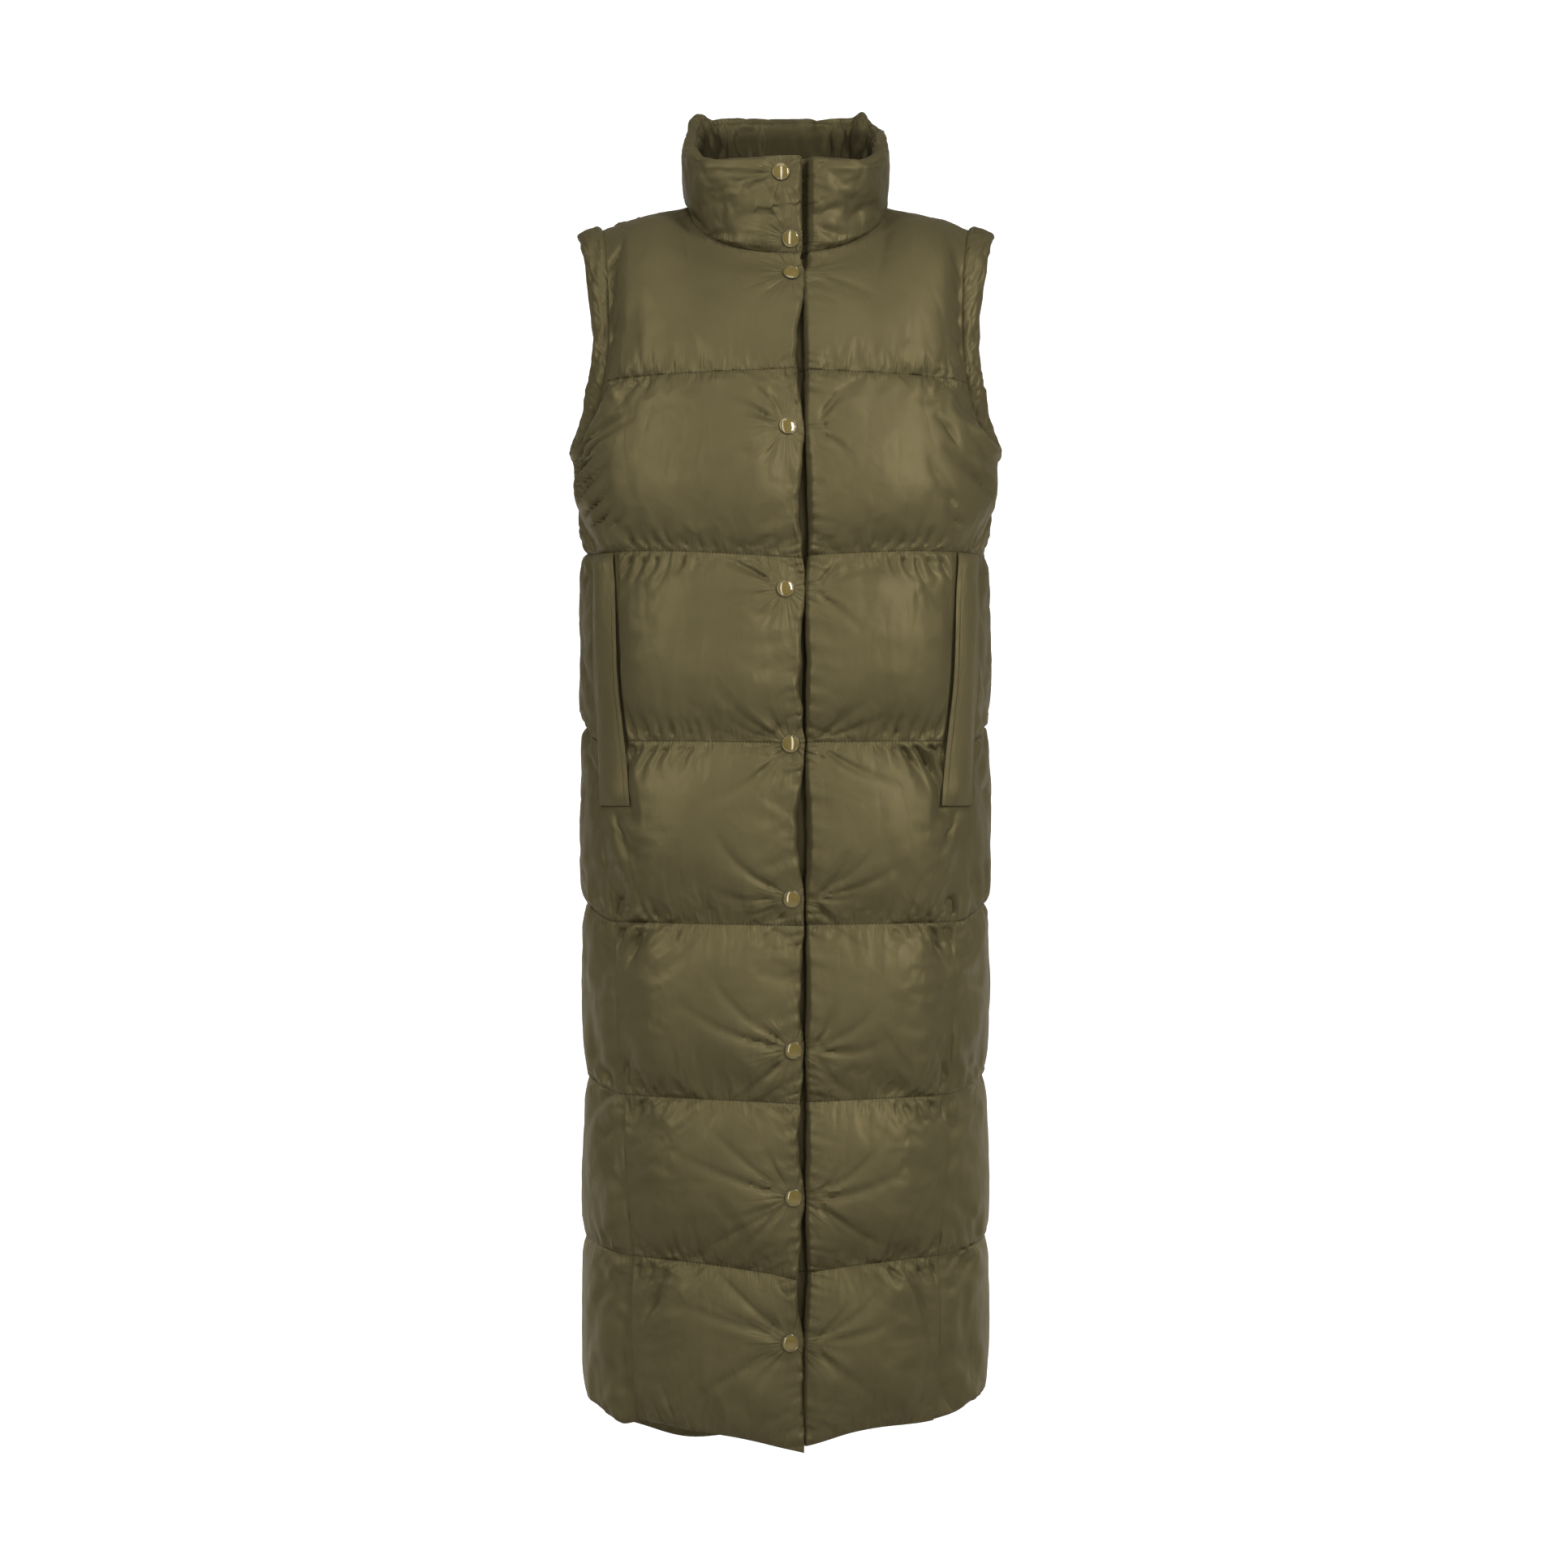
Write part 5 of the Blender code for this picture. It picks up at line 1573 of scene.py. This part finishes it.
def creases_at(start, where, scale, detail):
    """0 along thin wandering lines and more between them."""
    return (noise_at(start, where, scale, detail) - 0.5).size()


def darker(colour, share):
    return tuple(part * share for part in colour[:3]) + (1.0,)


print("half of white:", darker((1, 1, 1), 0.5))

# %% [markdown]
# ## Olive nylon
#
# The nylon is a thin tight weave with a slightly metallic sheen, duller where it turns away. One
# function makes it for every piece, with switches for what differs: thread, creases round the
# snaps, painted shade inside the collar, and the wrung look of the bands.
# %% Relief of the nylon
def nylon_relief(start, spot, along, up, from_seam, gather):
    """Grain, weave, soft lumps, gathers beside the seams and faint creases away from them."""
    grain = noise_at(start, spot, 900.0, 2.0)
    weave = (along * 5200).sine() * (up * 5200).sine()
    height = (grain - 0.5) * 0.00003 + weave * 0.000012 + (noise_at(start, spot, 34.0, 3.0) - 0.5) * 0.0012
    long_way = vector(start, along * 1.0, up * 0.22, 0.0)
    near = 1 - from_seam.between(0.001, 0.018)
    height = height + creases_at(start, long_way, 150.0, 2.0) * near * (0.0036 * gather)
    turn = {"Rotation": (0.0, 0.6, 0.2), "Scale": (1.0, 1.0, 0.35)}
    lean = start.result("ShaderNodeMapping", 0, None, Vector=spot, **turn)
    return grain, height + creases_at(start, lean, 30.0, 2.0) * (0.0026 * gather)


def wrung_relief(start, spot):
    """Slanting wrinkles of a twisted band."""
    out, inwards, high = spot.parts()
    out = out.size()
    slope = vector(start, out - high * 0.8, inwards * 0.9, (out + high) * 0.2)
    return creases_at(start, slope, 85.0, 1.0) * 0.0050


def snap_relief(start, spot):
    """Fine creases that run out from each snap."""
    across, pull, upward = attribute(start, "from_snap", "Vector").parts()
    distance = start.maths("SQRT", across * across + upward * upward + 0.00001)
    own_height = (spot.parts()[2] - upward) * 23.0
    round_it = vector(start, across / distance * 2.4, upward / distance * 2.4, distance * 9.0 + own_height)
    rays = noise_at(start, round_it, 1.7, 2.0)
    return (rays - 0.5) * pull * distance.between(0.0080, 0.0125) * 0.0024


print("snap creases start", 0.008, "m from a snap")

# %% Olive nylon
OLIVE, OLIVE_DEEP = (0.122, 0.101, 0.049), (0.099, 0.082, 0.039)
THREAD_COLOUR = (0.030, 0.025, 0.013, 1.0)
SHEEN_COLOUR = (0.25, 0.22, 0.12, 1.0)
THREAD_LENGTH = 0.0030


# The brightness switch gives some pieces a lighter or darker copy of the one nylon colour: painted light and
# shade.
def nylon(name, painted_brightness=1.0, stitched=True, gather=1.0, snapped=False, shaded=False, twisted=False):
    made, shader, start = fresh_material(name)
    spot = start.result("ShaderNodeTexCoord", "Object")
    along, up, _ = start.result("ShaderNodeUVMap", 0, {"uv_map": "cut"}).parts()
    from_seam = attribute(start, "from_seam")
    grain, height = nylon_relief(start, spot, along, up, from_seam, 0.0 if twisted else gather)
    clouds = noise_at(start, spot, 9.0, 3.0)
    deep = darker(OLIVE_DEEP, painted_brightness)
    colour = mixed(start, clouds.between(0.30, 0.72) * 0.6 + grain * 0.2, darker(OLIVE, painted_brightness), deep)
    if shaded:
        # Painted shade: the inside of the collar is darkened where its own walls shade it.
        colour = mixed(start, up.between(0.094, 0.120), colour, darker(deep, 0.36))
    if twisted:
        height = height + wrung_relief(start, spot)
    if snapped:
        height = height + snap_relief(start, spot)
    if stitched:
        on_line = 1 - from_seam.between(0.0003, 0.0008)
        thread = on_line * (along * (2 * math.pi / THREAD_LENGTH)).sine().between(-0.35, 0.15)
        colour = mixed(start, thread * 0.60, colour, THREAD_COLOUR)
        height = height - on_line * 0.0002 - thread * 0.0002
    turned = start.result("ShaderNodeLayerWeight", "Facing", None, Blend=0.35)
    gloss = 0.47 + (clouds - 0.5) * 0.10 + (grain - 0.5) * 0.06 + turned * turned * 0.40
    colour.into(shader.inputs["Base Color"])
    gloss.into(shader.inputs["Roughness"])
    bump = start.result("ShaderNodeBump", 0, None, Height=height, Strength=1.0, Distance=1.0)
    bump.into(shader.inputs["Normal"])
    shader.inputs["Metallic"].default_value = 0.28
    shader.inputs["Specular IOR Level"].default_value = 0.10
    shader.inputs["Specular Tint"].default_value = SHEEN_COLOUR
    return made


# The pocket strips get a lighter copy and the collar and bands darker copies, set to match how they look lit:
# painted light and shade.
FRONT_CLOTH = nylon("front_nylon_cloth", snapped=True)
BAND_CLOTH = nylon("band_nylon_cloth", painted_brightness=0.95, stitched=False, twisted=True)
STRIP_CLOTH = nylon("pocket_nylon_cloth", painted_brightness=1.08, gather=0.35)
CLOTHS = (
    (front_right, FRONT_CLOTH), (front_left, FRONT_CLOTH), (back_piece, nylon("back_nylon_cloth")),
    # The collar's nylon carries painted shade on its inside.
    (collar_piece, nylon("collar_nylon_cloth", painted_brightness=0.95, gather=1.2, snapped=True, shaded=True)),
    (band_left, BAND_CLOTH), (band_right, BAND_CLOTH), (strip_left, STRIP_CLOTH), (strip_right, STRIP_CLOTH),
)
for piece, cloth in CLOTHS:
    piece.data.materials.append(cloth)
print("nylon on", len(CLOTHS), "pieces")

# %% [markdown]
# ## Khaki enamel
#
# The caps are painted metal with a clear gloss over it. Painted shade darkens the groove and a
# painted shadow the outer foot, and a lighter ring on the rolled rim is a painted highlight. Rings
# like these come from one number, how far inside the cap's edge a point lies.
# %% Khaki enamel
KHAKI, KHAKI_DEEP = (0.200, 0.150, 0.042, 1.0), (0.160, 0.120, 0.034, 1.0)
PAINTED_HIGHLIGHT, PAINTED_SHADE = (0.300, 0.245, 0.120, 1.0), (0.012, 0.010, 0.005, 1.0)


def enamel(name):
    made, shader, start = fresh_material(name)
    clouds = noise_at(start, start.result("ShaderNodeTexCoord", "Object"), 260.0, 2.0)
    inwards = attribute(start, "from_seam")
    # The lighter ring on the rolled rim is a painted highlight. The groove gets painted shade and the outer foot
    # a dark painted shadow.
    ring = inwards.between(0.0003, 0.0005) * (1 - inwards.between(0.0007, 0.0009))
    groove = inwards.between(0.0008, 0.0010) * (1 - inwards.between(0.0012, 0.0014))
    dark = (1 - inwards.between(0.0002, 0.0004)) + groove * 0.6
    colour = mixed(start, clouds.between(0.3, 0.7) * 0.5, KHAKI, KHAKI_DEEP)
    colour = mixed(start, dark, mixed(start, ring, colour, PAINTED_HIGHLIGHT), PAINTED_SHADE)
    colour.into(shader.inputs["Base Color"])
    (0.09 + (clouds - 0.5) * 0.05 + ring * 0.14 + dark * 0.60).into(shader.inputs["Roughness"])
    (ring * 0.5 + 0.15).into(shader.inputs["Metallic"])
    (0.8 - dark * 0.8 - ring * 0.4).into(shader.inputs["Coat Weight"])
    shader.inputs["Coat Roughness"].default_value = 0.04
    return made


ENAMEL = enamel("cap_enamel_gloss")
for piece in caps:
    piece.data.materials.append(ENAMEL)
print("enamel on", len(caps), "caps")

# %% [markdown]
# ## The studio
#
# A pale floor sweeps up behind the coat like a sheet of studio paper. A large soft light stands on
# either side, and the whole room is bright, so the cloth shows its form in gentle shades.
# %% The paper sweep
FLOOR, SWEEP_RADIUS, SWEEP_HALF = -1.42, 2.5, 9.0


def sweep():
    """Floor and wall in one curved sheet."""
    build = bmesh.new()
    corner = [build.verts.new((-SWEEP_HALF, y, FLOOR)) for y in (-6.0, 2.5)]
    build.edges.new(corner)
    middle = (-SWEEP_HALF, 2.5, FLOOR + SWEEP_RADIUS)
    turned = bmesh.ops.spin(build, geom=corner[1:], axis=(1, 0, 0), cent=middle, angle=math.pi / 2, steps=24)
    wall = bmesh.ops.extrude_vert_indiv(build, verts=[turned["geom_last"][0]])["verts"]
    bmesh.ops.translate(build, verts=wall, vec=(0, 0, 8.0))
    copied = bmesh.ops.extrude_edge_only(build, edges=build.edges)["geom"]
    moved = [part for part in copied if isinstance(part, bmesh.types.BMVert)]
    bmesh.ops.translate(build, verts=moved, vec=(2 * SWEEP_HALF, 0, 0))
    mesh = bpy.data.meshes.new("studio_sweep")
    build.to_mesh(mesh)
    build.free()
    mesh.shade_smooth()
    paper = bpy.data.objects.new("studio_sweep", mesh)
    bpy.context.scene.collection.objects.link(paper)
    return paper


def paper_look():
    """Pale paper that the camera sees a little brighter, and sees through from behind."""
    made, shader, start = fresh_material("studio_paper")
    shader.inputs["Base Color"].default_value = (0.40, 0.40, 0.40, 1.0)
    shader.inputs["Roughness"].default_value = 0.9
    seen = start.result("ShaderNodeLightPath", "Is Camera Ray") * 0.75
    glow = start.result("ShaderNodeEmission", 0, None, Color=(1.0, 1.0, 1.0, 1.0), Strength=1.05)
    paper = Value(start.tree, shader.outputs[0])
    both = start.result("ShaderNodeMixShader", 0, None, i0=seen, i1=paper, i2=glow)
    under = start.result("ShaderNodeNewGeometry", "Backfacing")
    clear = start.result("ShaderNodeBsdfTransparent")
    both = start.result("ShaderNodeMixShader", 0, None, i0=under, i1=both, i2=clear)
    both.into(start.tree.nodes["Material Output"].inputs["Surface"])
    return made


sweep().data.materials.append(paper_look())
print("the paper lies at", FLOOR, "m")

# %% Six lights
LIGHTS = (  # name, place, size, power, and what it is aimed at
    ("right_softbox", (1.45, -1.70, 0.52), (0.5, 1.1), 37, (0, 0, -0.45)),
    ("left_softbox", (-1.45, -1.70, 0.52), (0.5, 1.1), 26, (0, 0, -0.45)),
    ("front_strip", (0.27, -2.55, -0.35), (0.20, 3.6), 15, (0, 0, -0.5)),
    ("wall_light_left", (-2.2, 1.2, 0.9), (1.5, 2.5), 700, (-0.9, 5.0, -0.6)),
    ("wall_light_right", (2.2, 1.2, 0.9), (1.5, 2.5), 700, (0.9, 5.0, -0.6)),
    ("top_softbox", (0.0, -1.9, 1.9), (1.6, 0.8), 12, (0, -0.1, -0.6)),
)
for name, spot, (wide, high), power, aim in LIGHTS:
    lamp = bpy.data.lights.new(name, "AREA")
    lamp.shape = "RECTANGLE"
    lamp.size, lamp.size_y, lamp.energy = wide, high, power
    light = bpy.data.objects.new(name, lamp)
    light.location = spot
    light.rotation_euler = (Vector(aim) - Vector(spot)).to_track_quat("-Z", "Y").to_euler()
    bpy.context.scene.collection.objects.link(light)

room = bpy.data.worlds.new("room")
room.use_nodes = True
background = room.node_tree.nodes["Background"].inputs
background["Color"].default_value = (1.0, 1.0, 1.0, 1.0)
seen = Value(room.node_tree, None).result("ShaderNodeLightPath", "Is Camera Ray")
(seen * 0.80 + 0.10).into(background["Strength"])
bpy.context.scene.world = room
print(len(LIGHTS), "lights and a bright room")

# %% The camera
CAMERA_FAR, CAMERA_UP, HALF_VIEW = 2.4, -0.533, 0.7245
bpy.context.scene.view_settings.view_transform = "Standard"
lens = bpy.data.cameras.new("camera")
lens.sensor_width = 36
lens.lens = 18 / (HALF_VIEW / CAMERA_FAR)
camera = bpy.data.objects.new("camera", lens)
camera.location = (-0.0015, -CAMERA_FAR, CAMERA_UP)
camera.rotation_euler = (math.pi / 2, 0, 0)
bpy.context.scene.collection.objects.link(camera)
bpy.context.scene.camera = camera
print("camera", CAMERA_FAR, "m in front of the wearer's neck")

# %% [markdown]
# ## The scene, up to date
#
# The view layer is brought up to date.
# %% Up to date
bpy.context.view_layer.update()
